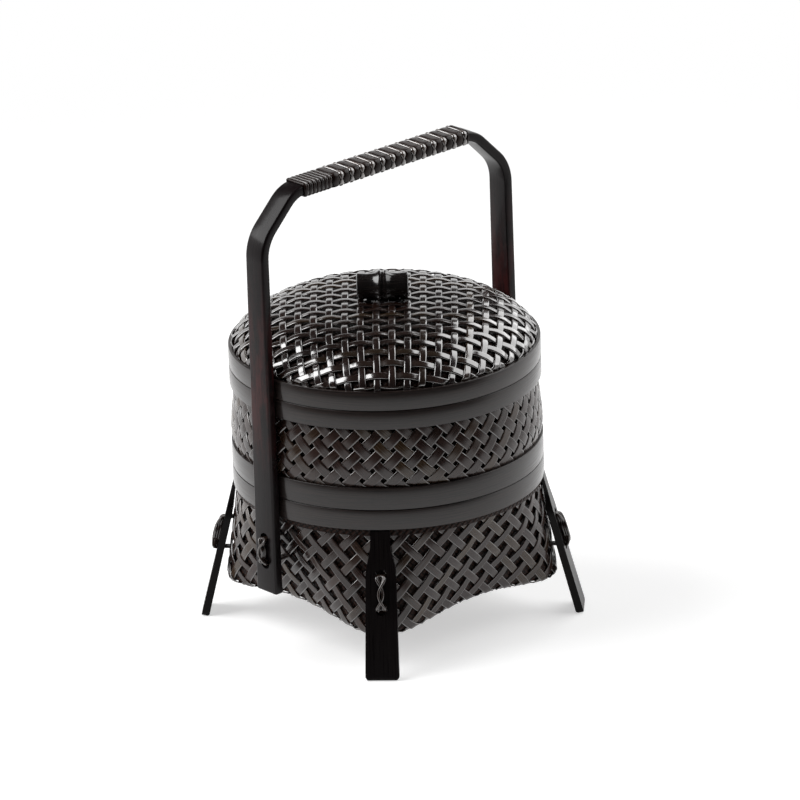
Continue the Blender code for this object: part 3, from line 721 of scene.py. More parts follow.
def weave_bias(bm, surface, count, low, high, width, thickness, lift):
    """Splints that lean both ways round a wall. surface takes a turn from 0 to 1 and a level that
    counts crossings down from the top; each splint passes over and under at every level."""
    for lean in (1, -1):
        for i in range(count):
            places = []
            for level in steps_between(low, high, 4):
                turn = (i + lean * level / 2) / count
                places.append((turn, level, level))
            rail = rail_on(surface, places, lean * lift)
            lay_strip(bm, rail, i + (count if lean < 0 else 0), width, thickness)


def follow(points):
    """A function that gives the point at a length along a line in (radius, height), running down
    and outwards, and the line's whole length."""
    lengths = [0.0]
    for (r0, z0), (r1, z1) in zip(points, points[1:]):
        lengths.append(lengths[-1] + math.hypot(r1 - r0, z1 - z0))

    def at(run):
        i = min(max(bisect_right(lengths, run) - 1, 0), len(points) - 2)
        share = (run - lengths[i]) / (lengths[i + 1] - lengths[i])
        (r0, z0), (r1, z1) = points[i], points[i + 1]
        return r0 + (r1 - r0) * share, z0 + (z1 - z0) * share

    return at, lengths[-1]


def smooth_line(knots, steps):
    """Points of a curve through knots of two numbers."""
    ends = [knots[0], *knots, knots[-1]]
    line = []
    for p0, p1, p2, p3 in zip(ends, ends[1:], ends[2:], ends[3:]):
        for i in range(steps):
            t = i / steps
            line.append(
                tuple(
                    b
                    + t * (c - a) / 2
                    + t * t * (a - 2.5 * b + 2 * c - d / 2)
                    + t**3 * (1.5 * (b - c) + (d - a) / 2)
                    for a, b, c, d in zip(p0, p1, p2, p3)
                )
            )
    return [*line, knots[-1]]


def inset_line(line, inset):
    """A line in (radius, height) moved to its right-hand side as it runs."""
    moved = []
    for i, (r, z) in enumerate(line):
        (r0, z0), (r1, z1) = line[max(i - 1, 0)], line[min(i + 1, len(line) - 1)]
        along = Vector((r1 - r0, z1 - z0)).normalized()
        moved.append((max(r + along.y * inset, 0.0) if r > 0 else 0.0, z - along.x * inset))
    return moved


def map_round(bm, radius):
    """A map that runs round the upright axis and up the piece."""
    uv = bm.loops.layers.uv.get(SPLINT_UV) or bm.loops.layers.uv.new(SPLINT_UV)
    for face in bm.faces:
        middle = face.calc_center_median()
        base = math.atan2(middle.y, middle.x)
        for loop in face.loops:
            turn = math.atan2(loop.vert.co.y, loop.vert.co.x) - base
            turn = (turn + math.pi) % (2 * math.pi) - math.pi
            loop[uv].uv = ((base + turn) * radius, loop.vert.co.z)


def spun(section, steps):
    """A closed section of (radius, height) points, spun once about the upright axis."""
    bm = bmesh.new()
    verts = [bm.verts.new((r, 0, z)) for r, z in section]
    edges = [bm.edges.new((a, b)) for a, b in zip(verts, verts[1:] + verts[:1])]
    bmesh.ops.spin(
        bm,
        geom=verts + edges,
        cent=(0, 0, 0),
        axis=(0, 0, 1),
        angle=2 * math.pi,
        steps=steps,
        use_merge=True,
    )
    bmesh.ops.remove_doubles(bm, verts=bm.verts, dist=0.001 * MM)
    bmesh.ops.recalc_face_normals(bm, faces=bm.faces)
    return bm


def bevel_sharp(bm, offset, segments, angle=50.0):
    edges = [e for e in bm.edges if e.is_manifold and e.calc_face_angle() > math.radians(angle)]
    bmesh.ops.bevel(
        bm,
        geom=edges,
        offset=offset,
        segments=segments,
        profile=0.5,
        affect="EDGES",
        clamp_overlap=True,
        material=-1,
    )


def bent_hoop(name, body):
    """A bent bamboo hoop in its node's place, a little crowned on its outer face."""
    low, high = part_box(name)
    r_out = high.x
    wall = HOOP_T if r_out > HOOP_R - HOOP_T else INNER_T
    middle = (low.z + high.z) / 2
    crown = HOOP_CROWN if r_out > HOOP_R - HOOP_T else 0.0
    section = [
        (r_out - wall, low.z),
        (r_out - crown, low.z),
        (r_out, middle),
        (r_out - crown, high.z),
        (r_out - wall, high.z),
    ]
    bm = spun(section, 144)
    bevel_sharp(bm, HOOP_EDGE if r_out > HOOP_R - HOOP_T else 0.3 * MM, 3)
    map_round(bm, r_out)
    material = finish_named("lacquered_bent_bamboo", lacquered_hoop)
    finished(bm, name + "_bent", body, [name], material)


# The base's form


def square_reach(angle, half_side, corner_r):
    """Distance from the axis to a rounded square's outline along an angle."""
    turn = abs((angle + QUARTER / 2) % QUARTER - QUARTER / 2)
    centre = half_side - corner_r
    if half_side * math.tan(turn) <= centre:
        return half_side / math.cos(turn)
    along = centre * (math.cos(turn) + math.sin(turn))
    return along + math.sqrt(max(along**2 - 2 * centre**2 + corner_r**2, 0.0))


def wall_reach(angle, share):
    """Outer radius of the base's wall at a share of its way from the hoop to the floor."""
    clamp = CLAMP_R + WALL_T / 2
    half_side = clamp + share * (SQUARE_HALF - clamp)
    corner_r = clamp + share * (SQUARE_CORNER_R - clamp)
    return square_reach(angle, half_side, corner_r)


def corner_drop(angle):
    return CORNER_DROP * abs(math.sin(2 * angle)) ** CORNER_DROP_POWER


def wall_z(angle, share):
    low = FLOOR_Z + FLOOR_EDGE_R - corner_drop(angle)
    return BASE_HOOP_Z + share * (low - BASE_HOOP_Z)


def wall_r_at(angle, z):
    """Outer radius of the base's wall at a height."""
    return wall_reach(angle, (BASE_HOOP_Z - z) / (BASE_HOOP_Z - wall_z(angle, 1.0)))


def outline_turns(steps=720):
    """Angles at equal lengths round the floor's outline."""
    angles = [2 * math.pi * i / steps for i in range(steps + 1)]
    points = [Vector((math.cos(a), math.sin(a))) * wall_reach(a, 1.0) for a in angles]
    lengths = [0.0]
    for a, b in zip(points, points[1:]):
        lengths.append(lengths[-1] + (b - a).length)
    return angles, lengths


OUTLINE = outline_turns()


def floor_turn(turn):
    """The angle at a share of the way round the floor's outline."""
    angles, lengths = OUTLINE
    whole = math.floor(turn)
    run = (turn - whole) * lengths[-1]
    i = min(bisect_right(lengths, run) - 1, len(angles) - 2)
    share = (run - lengths[i]) / (lengths[i + 1] - lengths[i])
    return angles[i] + share * (angles[i + 1] - angles[i]) + 2 * math.pi * whole


def polar(angle, radius, z):
    return Vector((radius * math.cos(angle), radius * math.sin(angle), z))


def base_surface(turn, level):
    """The middle of the base's woven wall: on behind the hoop above level 0, and on round the
    floor's edge below the last level."""
    step = (BASE_HOOP_Z - FLOOR_Z) / BASE_LEVELS
    share = min(max(level / BASE_LEVELS, 0.0), 1.0)
    angle = (1 - share) * 2 * math.pi * turn + share * floor_turn(turn)
    reach = wall_reach(angle, share) - WALL_T / 2
    z = wall_z(angle, share) - min(level, 0.0) * step
    past = max(level - BASE_LEVELS, 0.0) * step
    bend = min(past / FLOOR_EDGE_R, QUARTER)
    edge = FLOOR_EDGE_R - WALL_T / 2
    flat = max(past - FLOOR_EDGE_R * QUARTER, 0.0)
    reach -= edge * (1 - math.cos(bend)) + flat
    z -= edge * math.sin(bend)
    return polar(angle, reach, z)


def floor_surface(x, y):
    """The middle of the base's floor, which hangs towards its corners."""
    angle = math.atan2(y, x)
    edge = wall_reach(angle, 1.0) - FLOOR_EDGE_R
    share = min(math.hypot(x, y) / edge, 1.0)
    return Vector((x, y, FLOOR_Z + WALL_T / 2 - corner_drop(angle) * share**FLOOR_HANG_POWER))


def line_basket(name, body, node, place, rows, material, around=96):
    """A thin layer behind or before the open weave: a grid that place(turn, row) lays, given its
    thickness inwards, welded along its seam and, where its last row meets, at its middle."""
    bm = bmesh.new()
    uv = bm.loops.layers.uv.new(SPLINT_UV)
    grid = bmesh.ops.create_grid(bm, x_segments=around, y_segments=rows, size=0.5)["verts"]
    faces = list(bm.faces)
    made = bmesh.ops.extrude_face_region(bm, geom=faces, use_keep_orig=True)["geom"]
    under = {g for g in made if isinstance(g, bmesh.types.BMVert)}
    maps = {}
    runs = {0: 0.0}
    for row in range(rows):
        runs[row + 1] = runs[row] + (place(0.1, row + 1) - place(0.1, row)).length
    for vert in [*grid, *under]:
        turn = vert.co.x + 0.5
        row = round((0.5 - vert.co.y) * rows)
        point = place(turn, row)
        across = place(turn + 0.004, row) - place(turn - 0.004, row)
        down = place(turn, min(row + 1, rows)) - place(turn, max(row - 1, 0))
        inwards = down.cross(across) if across.length > 0.01 * MM else Vector((0, 0, 1))
        vert.co = point
        if vert in under:
            inwards = inwards.normalized()
            inwards *= -1 if inwards.dot(Vector((0, 0, 0.1)) - point) < 0 else 1
            vert.co += inwards * LINING_T
        maps[vert] = (turn * 2 * math.pi * CLAMP_R, runs[row])
    for face in bm.faces:
        for loop in face.loops:
            loop[uv].uv = maps[loop.vert]
    bmesh.ops.remove_doubles(bm, verts=bm.verts, dist=0.005 * MM)
    finished(bm, name, body, [node], material)


def weave_flat(bm, surface, inside, turn, pitches, offsets, reach, width, thickness, lift, per):
    """Splints both ways over a sheet: surface takes a place in plan, and inside says whether it
    is on the sheet. The first number of each pair is for splints that run along the turn."""
    along = Vector((math.cos(turn), math.sin(turn)))
    across = Vector((-along.y, along.x))
    index = 0
    for way, (run, step) in enumerate(((along, across), (across, along))):
        pitch, other = pitches[way], pitches[1 - way]
        count = int(reach / pitch) + 1
        for i in range(-count, count + 1):
            aside = step * (offsets[way] + i * pitch)
            stops = []
            ends = int(reach / other * per) + per
            for j in range(-ends, ends + 1):
                x, y = aside + run * (offsets[1 - way] + j * other / per)
                if inside(x, y):
                    stops.append((x, y, j / per + i))
            if len(stops) < 5:
                continue
            rail = []
            sign = 1 if way == 0 else -1
            for x, y, phase in stops:
                point, out = surface(x, y)
                rail.append((point + out * sign * lift * crimp(phase), out))
            lay_strip(bm, rail, index, width, thickness)
            index += 1


# Pieces


class BASKET_OT_weave_base(bpy.types.Operator):
    """Weave the base basket's open wall and its floor"""

    bl_idname = "basket.weave_base"
    bl_label = "Weave Base"

    def execute(self, context):
        sizes = context.scene.basket_weaves
        material = wall_splint("stained_base_splints", sizes.base_width)
        bm = bmesh.new()
        weave_bias(
            bm,
            base_surface,
            BASE_COUNT,
            -1.3,
            BASE_LEVELS + 1.35,
            sizes.base_width,
            sizes.wall_thickness,
            sizes.wall_crimp,
        )
        finished(bm, "base_woven_wall", "base", ["base_basket"], material, 62.0)

        step = (BASE_HOOP_Z - FLOOR_Z) / BASE_LEVELS
        start = (BASE_HOOP_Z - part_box("base_lip_hoop")[0].z + HOOP_GAP) / step
        levels = steps_between(start, BASE_LEVELS, 2)
        levels += steps_between(BASE_LEVELS, BASE_LEVELS + FLOOR_EDGE_R * QUARTER / step, 4)[1:]
        shares = (0.9, 0.75, 0.5, 0.25, 0.0)

        def lining(turn, row):
            if row < len(levels):
                point = base_surface(turn, levels[row])
                ahead = base_surface(turn, levels[row] + 0.05) - point
                round_it = base_surface(turn + 0.001, levels[row]) - point
                inwards = ahead.cross(round_it).normalized()
                centre = Vector((0, 0, BASE_HOOP_Z))
                inwards *= -1 if inwards.dot(centre - point) < 0 else 1
                near = levels[row] > BASE_LEVELS - 0.6
                return point + inwards * (LINING_EDGE_IN if near else LINING_IN)
            edge = base_surface(turn, levels[-1])
            flat = shares[row - len(levels)] * Vector((edge.x, edge.y))
            return floor_surface(*flat) + Vector((0, 0, LINING_EDGE_IN))

        fine = finish_named("woven_lining_and_painted_shade", lining_with_painted_shade)
        last = len(levels) + len(shares) - 1
        line_basket("base_lining", "base", "base_basket", lining, last, fine)

        def binding(turn, row):
            level = (0.6 + 2.4 * row) * MM / step
            point = base_surface(turn, level)
            return point + Vector((point.x, point.y, 0)).normalized() * BINDING_OUT

        line_basket("base_binding_splint", "base", "base_basket", binding, 1, fine)

        def inside(x, y):
            return math.hypot(x, y) < wall_reach(math.atan2(y, x), 1.0) - FLOOR_EDGE_R

        def sheet(x, y):
            point = floor_surface(x, y)
            ease = 0.2 * MM
            east = floor_surface(x + ease, y) - floor_surface(x - ease, y)
            north = floor_surface(x, y + ease) - floor_surface(x, y - ease)
            return point, east.cross(north).normalized()

        bm = bmesh.new()
        pitch = sizes.floor_pitch
        weave_flat(
            bm,
            sheet,
            inside,
            QUARTER / 2,
            (pitch, pitch),
            (0.0, 0.0),
            78 * MM,
            sizes.base_width,
            sizes.wall_thickness,
            sizes.wall_crimp,
            4,
        )
        finished(bm, "base_woven_floor", "base", ["base_basket"], material, 62.0)
        return {"FINISHED"}


class BASKET_OT_weave_tray(bpy.types.Operator):
    """Weave the tray's close wall and its floor"""

    bl_idname = "basket.weave_tray"
    bl_label = "Weave Tray"

    def execute(self, context):
        sizes = context.scene.basket_weaves
        material = wall_splint("stained_tray_splints", sizes.tray_width)
        drop = TRAY_RIM_Z - TRAY_FOOT_Z
        knots = [(CLAMP_R, TRAY_TOP_Z), (CLAMP_R, TRAY_RIM_Z + 3 * MM)]
        knots += [
            (CLAMP_R + TRAY_SWELL * out, TRAY_RIM_Z - drop * down)
            for down, out in TRAY_SWELL_SHARES
        ]
        floor_z = TRAY_FLOOR_Z + WALL_T / 2
        turn_r = TRAY_CORNER_R - WALL_T / 2
        line = smooth_line(knots, 8)
        for i in range(7):
            bend = QUARTER * i / 6
            line.append(
                (
                    CLAMP_R - turn_r * (1 - math.cos(bend)),
                    floor_z + turn_r * (1 - math.sin(bend)),
                )
            )
        line.append((CLAMP_R - 8 * MM, floor_z))
        at, whole = follow(line)
        step = math.pi * (CLAMP_R + TRAY_SWELL / 2) / TRAY_COUNT

        def surface(turn, level):
            radius, z = at(level * step)
            return polar(2 * math.pi * turn, radius, z)

        bm = bmesh.new()
        weave_bias(
            bm,
            surface,
            TRAY_COUNT,
            0.4,
            (whole - 3.5 * MM) / step,
            sizes.tray_width,
            sizes.wall_thickness,
            sizes.wall_crimp,
        )
        finished(bm, "tray_woven_wall", "tray", ["tray_basket"], material, 62.0)

        # The lining starts right under the middle of the lip's hoop.
        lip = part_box("tray_lip_hoop")
        low = lip[0].z - HOOP_GAP
        inner = [(lip[1].x - INNER_T / 2, low)]
        inner += [p for p in inset_line(line, LINING_IN) if p[1] < low]
        inner += [(CLAMP_R * share, floor_z + LINING_IN) for share in (0.8, 0.5, 0.25, 0.0)]

        def lining(turn, row):
            return polar(2 * math.pi * turn, *inner[row])

        fine = finish_named("woven_lining_and_painted_shade", lining_with_painted_shade)
        line_basket("tray_lining", "tray", "tray_basket", lining, len(inner) - 1, fine)
        floor_r = CLAMP_R - turn_r - 0.5 * MM

        def inside(x, y):
            return math.hypot(x, y) < floor_r

        def sheet(x, y):
            return Vector((x, y, floor_z)), Vector((0, 0, 1))

        bm = bmesh.new()
        pitch = step * math.sqrt(2)
        weave_flat(
            bm,
            sheet,
            inside,
            QUARTER / 2,
            (pitch, pitch),
            (0.0, 0.0),
            65 * MM,
            sizes.tray_width,
            sizes.wall_thickness,
            sizes.wall_crimp,
            4,
        )
        finished(bm, "tray_woven_floor", "tray", ["tray_basket"], material, 62.0)
        return {"FINISHED"}


class BASKET_OT_weave_lid(bpy.types.Operator):
    """Weave the lid's dome, splints along and across the knob"""

    bl_idname = "basket.weave_lid"
    bl_label = "Weave Lid"

    def execute(self, context):
        sizes = context.scene.basket_weaves
        material = lid_splint("gloss_lid_splints", sizes.lid_width)
        sink = sizes.lid_crimp + sizes.lid_thickness / 2
        rise = DOME_TOP_Z - DOME_FOOT_Z
        outer = []
        for i in range(121):
            share = 1 - (1 - i / 120) ** 2
            z = DOME_FOOT_Z + rise * (1 - share**DOME_PLAN_POWER) ** DOME_RISE_POWER
            outer.append(Vector((DOME_R * share, z)))
        line = [(0.0, DOME_TOP_Z - sink)]
        for before, here, after in zip(outer, outer[1:], outer[2:]):
            along = (after - before).normalized()
            point = here - Vector((-along.y, along.x)) * sink
            line.append((min(point.x, CLAMP_R + 0.6 * MM), point.y))
        line = [p for p in line if p[1] > DOME_FOOT_Z]
        line += [(CLAMP_R, DOME_FOOT_Z - 1.2 * MM), (CLAMP_R, SKIRT_Z + 0.4 * MM)]
        at, whole = follow(line)

        # The lining ends right over the middle of the skirt's inner hoop.
        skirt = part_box("lid_inner_hoop")[1]
        low = skirt.z + HOOP_GAP
        inner = [p for p in inset_line(line, LINING_IN)[::4] if p[1] > low]
        inner.append((skirt.x - INNER_T / 2, low))

        def lining(turn, row):
            return polar(2 * math.pi * turn, *inner[len(inner) - 1 - row])

        fine = finish_named("woven_lining_and_painted_shade", lining_with_painted_shade)
        line_basket("lid_lining", "lid", "lid_dome", lining, len(inner) - 1, fine)

        def sheet(x, y):
            run = min(math.hypot(x, y), whole)
            angle = math.atan2(y, x)
            ease = 0.3 * MM
            radius, z = at(run)
            r0, z0 = at(max(run - ease, 0.0))
            r1, z1 = at(min(run + ease, whole))
            slope = Vector((r1 - r0, z1 - z0)).normalized()
            out = Vector((-slope.y * math.cos(angle), -slope.y * math.sin(angle), slope.x))
            return polar(angle, radius, z), out

        def inside(x, y):
            return math.hypot(x, y) < whole - 1.5 * MM

        bm = bmesh.new()
        weave_flat(
            bm,
            sheet,
            inside,
            LID_TURN,
            (sizes.lid_row, sizes.lid_column),
            (0.0, LID_COLUMN_START + 2 * sizes.lid_column),
            whole,
            sizes.lid_width,
            sizes.lid_thickness,
            sizes.lid_crimp,
            4,
        )
        finished(bm, "lid_woven_dome", "lid", ["lid_dome"], material, 62.0)
        return {"FINISHED"}


class BASKET_OT_bend_hoops(bpy.types.Operator):
    """Bend the hoops that clamp the rims, the lips and the foot"""

    bl_idname = "basket.bend_hoops"
    bl_label = "Bend Hoops"

    def execute(self, context):
        for body, names in (
            ("base", ("base_rim_hoop", "base_lip_hoop")),
            ("tray", ("tray_rim_hoop", "tray_lip_hoop", "tray_foot_hoop", "tray_foot_ring")),
            ("lid", ("lid_rim_hoop", "lid_inner_hoop")),
        ):
            for name in names:
                bent_hoop(name, body)
        return {"FINISHED"}


def arc(corner, before, after, radius, steps):
    """Points of the arc that rounds a corner between two neighbours, with the lines' outsides."""
    corner, before, after = Vector(corner), Vector(before), Vector(after)
    back = (before - corner).normalized()
    ahead = (after - corner).normalized()
    half = back.angle(ahead) / 2
    centre = corner + (back + ahead).normalized() * radius / math.sin(half)
    start = corner + back * radius / math.tan(half) - centre
    sweep = math.pi - 2 * half
    side = 1 if back.x * ahead.y - back.y * ahead.x < 0 else -1
    points = []
    for i in range(steps + 1):
        spoke = Matrix.Rotation(side * sweep * i / steps, 2) @ start
        points.append((centre + spoke, spoke.normalized()))
    return points


def bar_rail():
    """The handle bar's middle line from its right foot over the top to its left one."""
    x = BAR_OUT_X - BAR_T / 2
    low = (x, BAR_MID_Z - SHOULDER_DROP)
    high = (x - SHOULDER_DROP, BAR_MID_Z)
    half = []
    for z in steps_between(BAR_FOOT_Z, low[1] - 8 * MM, 100):
        half.append((Vector((x, z)), Vector((1, 0))))
    half += arc(low, (x, BAR_FOOT_Z), high, LOWER_BEND_R, 10)
    half += arc(high, low, (0, BAR_MID_Z), UPPER_BEND_R, 10)
    half += [(Vector((s, BAR_MID_Z)), Vector((0, 1))) for s in (30 * MM, 15 * MM, 0.0)]
    rail = [(Vector((p.x, 0, p.y)), Vector((o.x, 0, o.y))) for p, o in half]
    mirrored = [(Vector((-p.x, 0, p.z)), Vector((-o.x, 0, o.z))) for p, o in reversed(rail[:-1])]
    return rail + mirrored


def bar_width(z):
    share = min(max((z - BAR_FOOT_Z) / (BAR_MID_Z - BAR_FOOT_Z), 0.0), 1.0)
    return BAR_FOOT_W + (BAR_TOP_W - BAR_FOOT_W) * share


def lash_heights(kind):
    turn = QUARTER / 2 if kind == "leg" else 0.0
    return [wall_z(turn, share) for share in LASH_SHARES[kind]]


def bored(piece, holes):
    """Cuts round holes, each from a start to an end, through a piece, and keeps the result."""
    bm = bmesh.new()
    for start, end in holes:
        along = end - start
        cone = bmesh.ops.create_cone(
            bm,
            cap_ends=True,
            segments=24,
            radius1=LASH_HOLE_R,
            radius2=LASH_HOLE_R,
            depth=along.length,
        )
        turn = along.to_track_quat("Z", "Y").to_matrix().to_4x4()
        place = Matrix.Translation((start + end) / 2) @ turn
        bmesh.ops.transform(bm, matrix=place, verts=cone["verts"])
    mesh = bpy.data.meshes.new("holes")
    bm.to_mesh(mesh)
    bm.free()
    cutter = bpy.data.objects.new("holes", mesh)
    bpy.context.scene.collection.objects.link(cutter)
    boolean = piece.modifiers.new("holes", "BOOLEAN")
    boolean.object = cutter
    boolean.solver = "EXACT"
    bpy.context.view_layer.update()
    graph = bpy.context.evaluated_depsgraph_get()
    made = bpy.data.meshes.new_from_object(piece.evaluated_get(graph))
    piece.modifiers.remove(boolean)
    old, piece.data = piece.data, made
    made.name = old.name
    bpy.data.meshes.remove(old)
    bpy.data.objects.remove(cutter)
    bpy.data.meshes.remove(mesh)
    piece.data.shade_smooth()
    piece.data.set_sharp_from_angle(angle=math.radians(35))


class BASKET_OT_bend_handle(bpy.types.Operator):
    """Bend the handle's bar and bore the holes for its ties"""

    bl_idname = "basket.bend_handle"
    bl_label = "Bend Handle"

    def execute(self, context):
        material = finish_named("rubbed_lacquer_bamboo", rubbed_lacquer)
        rail = bar_rail()
        widths = [bar_width(point.z) for point, _ in rail]
        bm = bmesh.new()
        lay_strip(bm, rail, 0, widths, BAR_T, across=2, crown=0.0)
        bmesh.ops.recalc_face_normals(bm, faces=bm.faces)
        bevel_sharp(bm, 0.9 * MM, 4)
        bar = finished(bm, "bent_handle_bar", "base", ["handle_bar"], material)
        holes = []
        for side in (1, -1):
            for z in lash_heights("bar"):
                start = Vector((side * (BAR_OUT_X - 2 * BAR_T), 0, z))
                holes.append((start, Vector((side * (BAR_OUT_X + BAR_T), 0, z))))
        bored(bar, holes)
        return {"FINISHED"}


def leg_outer_r(z):
    """Distance from the axis to a leg's outer face."""
    if z > LEG_THIN_Z:
        share = (z - LEG_THIN_Z) / (LEG_TIP_Z - LEG_THIN_Z)
        return LEG_THIN_R + (LEG_TIP_R - LEG_THIN_R) * share
    return LEG_THIN_R + LEG_SPLAY * (LEG_THIN_Z - z)


def leg_thickness(z):
    if z > LEG_THIN_Z:
        return 3.0 * MM - 1.9 * MM * (z - LEG_THIN_Z) / (LEG_TIP_Z - LEG_THIN_Z)
    return 3.5 * MM - 0.5 * MM * z / LEG_THIN_Z


def leg_width(z):
    """A bottle's outline: a straight neck, a sloping shoulder and a slowly widening body."""
    neck_z = LEG_TIP_Z - 4.7 * MM
    shoulder_z = neck_z - 14.0 * MM
    if z > neck_z:
        return 8.4 * MM
    if z > shoulder_z:
        share = (neck_z - z) / (neck_z - shoulder_z)
        return 8.4 * MM + 4.4 * MM * (1 - math.cos(math.pi * share)) / 2
    body = 12.8 * MM + 1.6 * MM * (shoulder_z - z) / shoulder_z
    corner = max(1.6 * MM - z, 0.0)
    return body - 2 * (1.6 * MM - math.sqrt(max((1.6 * MM) ** 2 - corner**2, 0.0)))


class BASKET_OT_shape_legs(bpy.types.Operator):
    """Shape the four bottle-shaped legs and bore them for their ties"""

    bl_idname = "basket.shape_legs"
    bl_label = "Shape Legs"

    def execute(self, context):
        material = leg_lacquer()
        names = ("back_right", "back_left", "front_left", "front_right")
        heights = [0.0, 0.15 * MM, 0.4 * MM, 0.9 * MM, 1.6 * MM]
        heights += steps_between(4 * MM, 40 * MM, 250) + steps_between(42.5 * MM, LEG_TIP_Z, 600)
        for i, name in enumerate(names):
            turn = QUARTER * i + QUARTER / 2
            outward = polar(turn, 1.0, 0.0)
            rail = []
            for z in heights:
                radius = leg_outer_r(z) - leg_thickness(z) / 2
                rail.append((polar(turn, radius, z), outward))
            bm = bmesh.new()
            widths = [leg_width(z) for z in heights]
            lay_strip(bm, rail, i, widths, 3.0 * MM, across=2, crown=0.0)
            for vert in bm.verts:
                height = min(heights, key=lambda z: abs(z - vert.co.z))
                vert.co.z = height
                out = vert.co.dot(outward)
                ease = FOOT_EASE - math.sqrt(FOOT_EASE**2 - max(FOOT_EASE - height, 0.0) ** 2)
                face = leg_outer_r(height) - ease
                back = leg_outer_r(height) - leg_thickness(height) + ease
                target = face if out > (face + back) / 2 else back
                vert.co += outward * (target - out)
            bmesh.ops.recalc_face_normals(bm, faces=bm.faces)
            bevel_sharp(bm, 0.35 * MM, 3)
            leg = finished(
                bm, "bottle_leg_" + name, "base", ["leg_" + name], material
            )
            holes = []
            for z in lash_heights("leg"):
                radius = leg_outer_r(z)
                start = polar(turn, radius - 6 * MM, z)
                holes.append((start, polar(turn, radius + 3 * MM, z)))
            bored(leg, holes)
        return {"FINISHED"}


def bar_top(run):
    """The bar's middle line at a length from its middle, and its way up there: flat, then bent."""
    bend_from = BAR_OUT_X - BAR_T / 2 - SHOULDER_DROP - UPPER_BEND_R * math.tan(QUARTER / 4)
    bend = max(abs(run) - bend_from, 0.0) / UPPER_BEND_R
    x = min(abs(run), bend_from) + UPPER_BEND_R * math.sin(bend)
    side = math.copysign(1.0, run)
    point = Vector((side * x, 0, BAR_MID_Z - UPPER_BEND_R * (1 - math.cos(bend))))
    return point, Vector((side * math.sin(bend), 0, math.cos(bend)))


def wrap_loop(half_y, half_z, ease):
    """One turn round the bar in (y, z, outward y, outward z) places: its rounded corners, with
    steps over each face between them."""
    corners = []
    for k, (sy, sz) in enumerate(((1, 1), (-1, 1), (-1, -1), (1, -1))):
        for j in range(4):
            bend = QUARTER * (k + j / 3)
            ny, nz = math.cos(bend), math.sin(bend)
            y, z = sy * (half_y - ease) + ease * ny, sz * (half_z - ease) + ease * nz
            corners.append((y, z, ny, nz))
    loop = []
    for k in range(4):
        loop += corners[4 * k : 4 * k + 4]
        here, after = loop[-1], corners[(4 * k + 4) % 16]
        for share in (0.25, 0.5, 0.75) if k % 2 == 0 else (0.5,):
            y, z = here[0] + (after[0] - here[0]) * share, here[1] + (after[1] - here[1]) * share
            loop.append((y, z, here[2], here[3]))
    return loop


class BASKET_OT_wrap_handle(bpy.types.Operator):
    """Wrap the handle's top with broad cane, and lace narrow turns between the broad ones"""

    bl_idname = "basket.wrap_handle"
    bl_label = "Wrap Handle"

    def execute(self, context):
        sizes = context.scene.basket_bindings
        thick = sizes.cane_thickness
        pitch = sizes.wrap_repeat
        # Each turn's place, then its widths: on the sides, at the top edges, on the top and there
        # at the back.
        broad = []
        narrow = []
        sunk = []
        start = -sizes.wrap_run / 2
        for i in range(WRAP_PLAIN[0]):
            broad.append((start + (i + 0.5) * WRAP_PLAIN_PITCH, 1.75, 1.3, 1.9, 1.7))
            sunk.append((start + (i + 1) * WRAP_PLAIN_PITCH, 0.6, 1.2, 0.5, 0.5))
        start += WRAP_PLAIN[0] * WRAP_PLAIN_PITCH
        for i in range(WRAP_REPEATS):
            middle = start + (i + 0.5) * pitch
            broad.append((middle, 4.4, 2.8, 4.3, 3.2))
            narrow.append((middle + pitch / 2, 0.8, 2.7, 0.9, 0.8))
        start += (WRAP_REPEATS + 0.1) * pitch
        for i in range(WRAP_PLAIN[1]):
            broad.append((start + (i + 0.5) * WRAP_PLAIN_PITCH, 1.75, 1.3, 1.9, 1.7))
        dark = finish_named("dark_rattan_cane", dark_cane)
        bright = finish_named("bright_rattan_cane", bright_cane)
        dull = finish_named("tie_rattan_cane", tie_cane)
        for name, turns, lift, crown, finish in (
            ("handle_cane_wrap", broad, 0.0, 0.2, dark),
            ("handle_cane_lacing", narrow, 0.2, 0.45, bright),
            ("handle_cane_inlay", sunk, -0.1, 0.3, dull),
        ):
            bm = bmesh.new()
            for index, (run, side_w, edge_w, top_w, back_w) in enumerate(turns):
                point, up = bar_top(run)
                half_y = BAR_TOP_W / 2 + 0.3 * MM + thick / 2 + lift * MM
                half_z = BAR_T / 2 + 0.3 * MM + thick / 2 + lift * MM
                rail = []
                widths = []
                for y, z, ny, nz in wrap_loop(half_y, half_z, 1.15 * MM):
                    rail.append((point + Vector((0, y, 0)) + up * z, up * nz + Vector((0, ny, 0))))
                    if abs(ny) > 0.9:
                        share = abs(z) / (half_z - 1.15 * MM)
                        width = side_w + (edge_w - side_w) * share**2
                    else:
                        share = abs(y) / half_y
                        flat = top_w + (back_w - top_w) * max(y / half_y, 0.0)
                        width = flat if y > 0 else flat + (edge_w - flat) * share**4
                    widths.append(width * MM)
                rail.append(rail[0])
                widths.append(widths[0])
                lay_strip(bm, rail, index, widths, thick, crown=crown, edge=0.4 * MM, closed=True)
            bmesh.ops.remove_doubles(bm, verts=bm.verts, dist=0.002 * MM)
            finished(bm, name, "base", ["handle_wrap"], finish, 62.0)
        return {"FINISHED"}


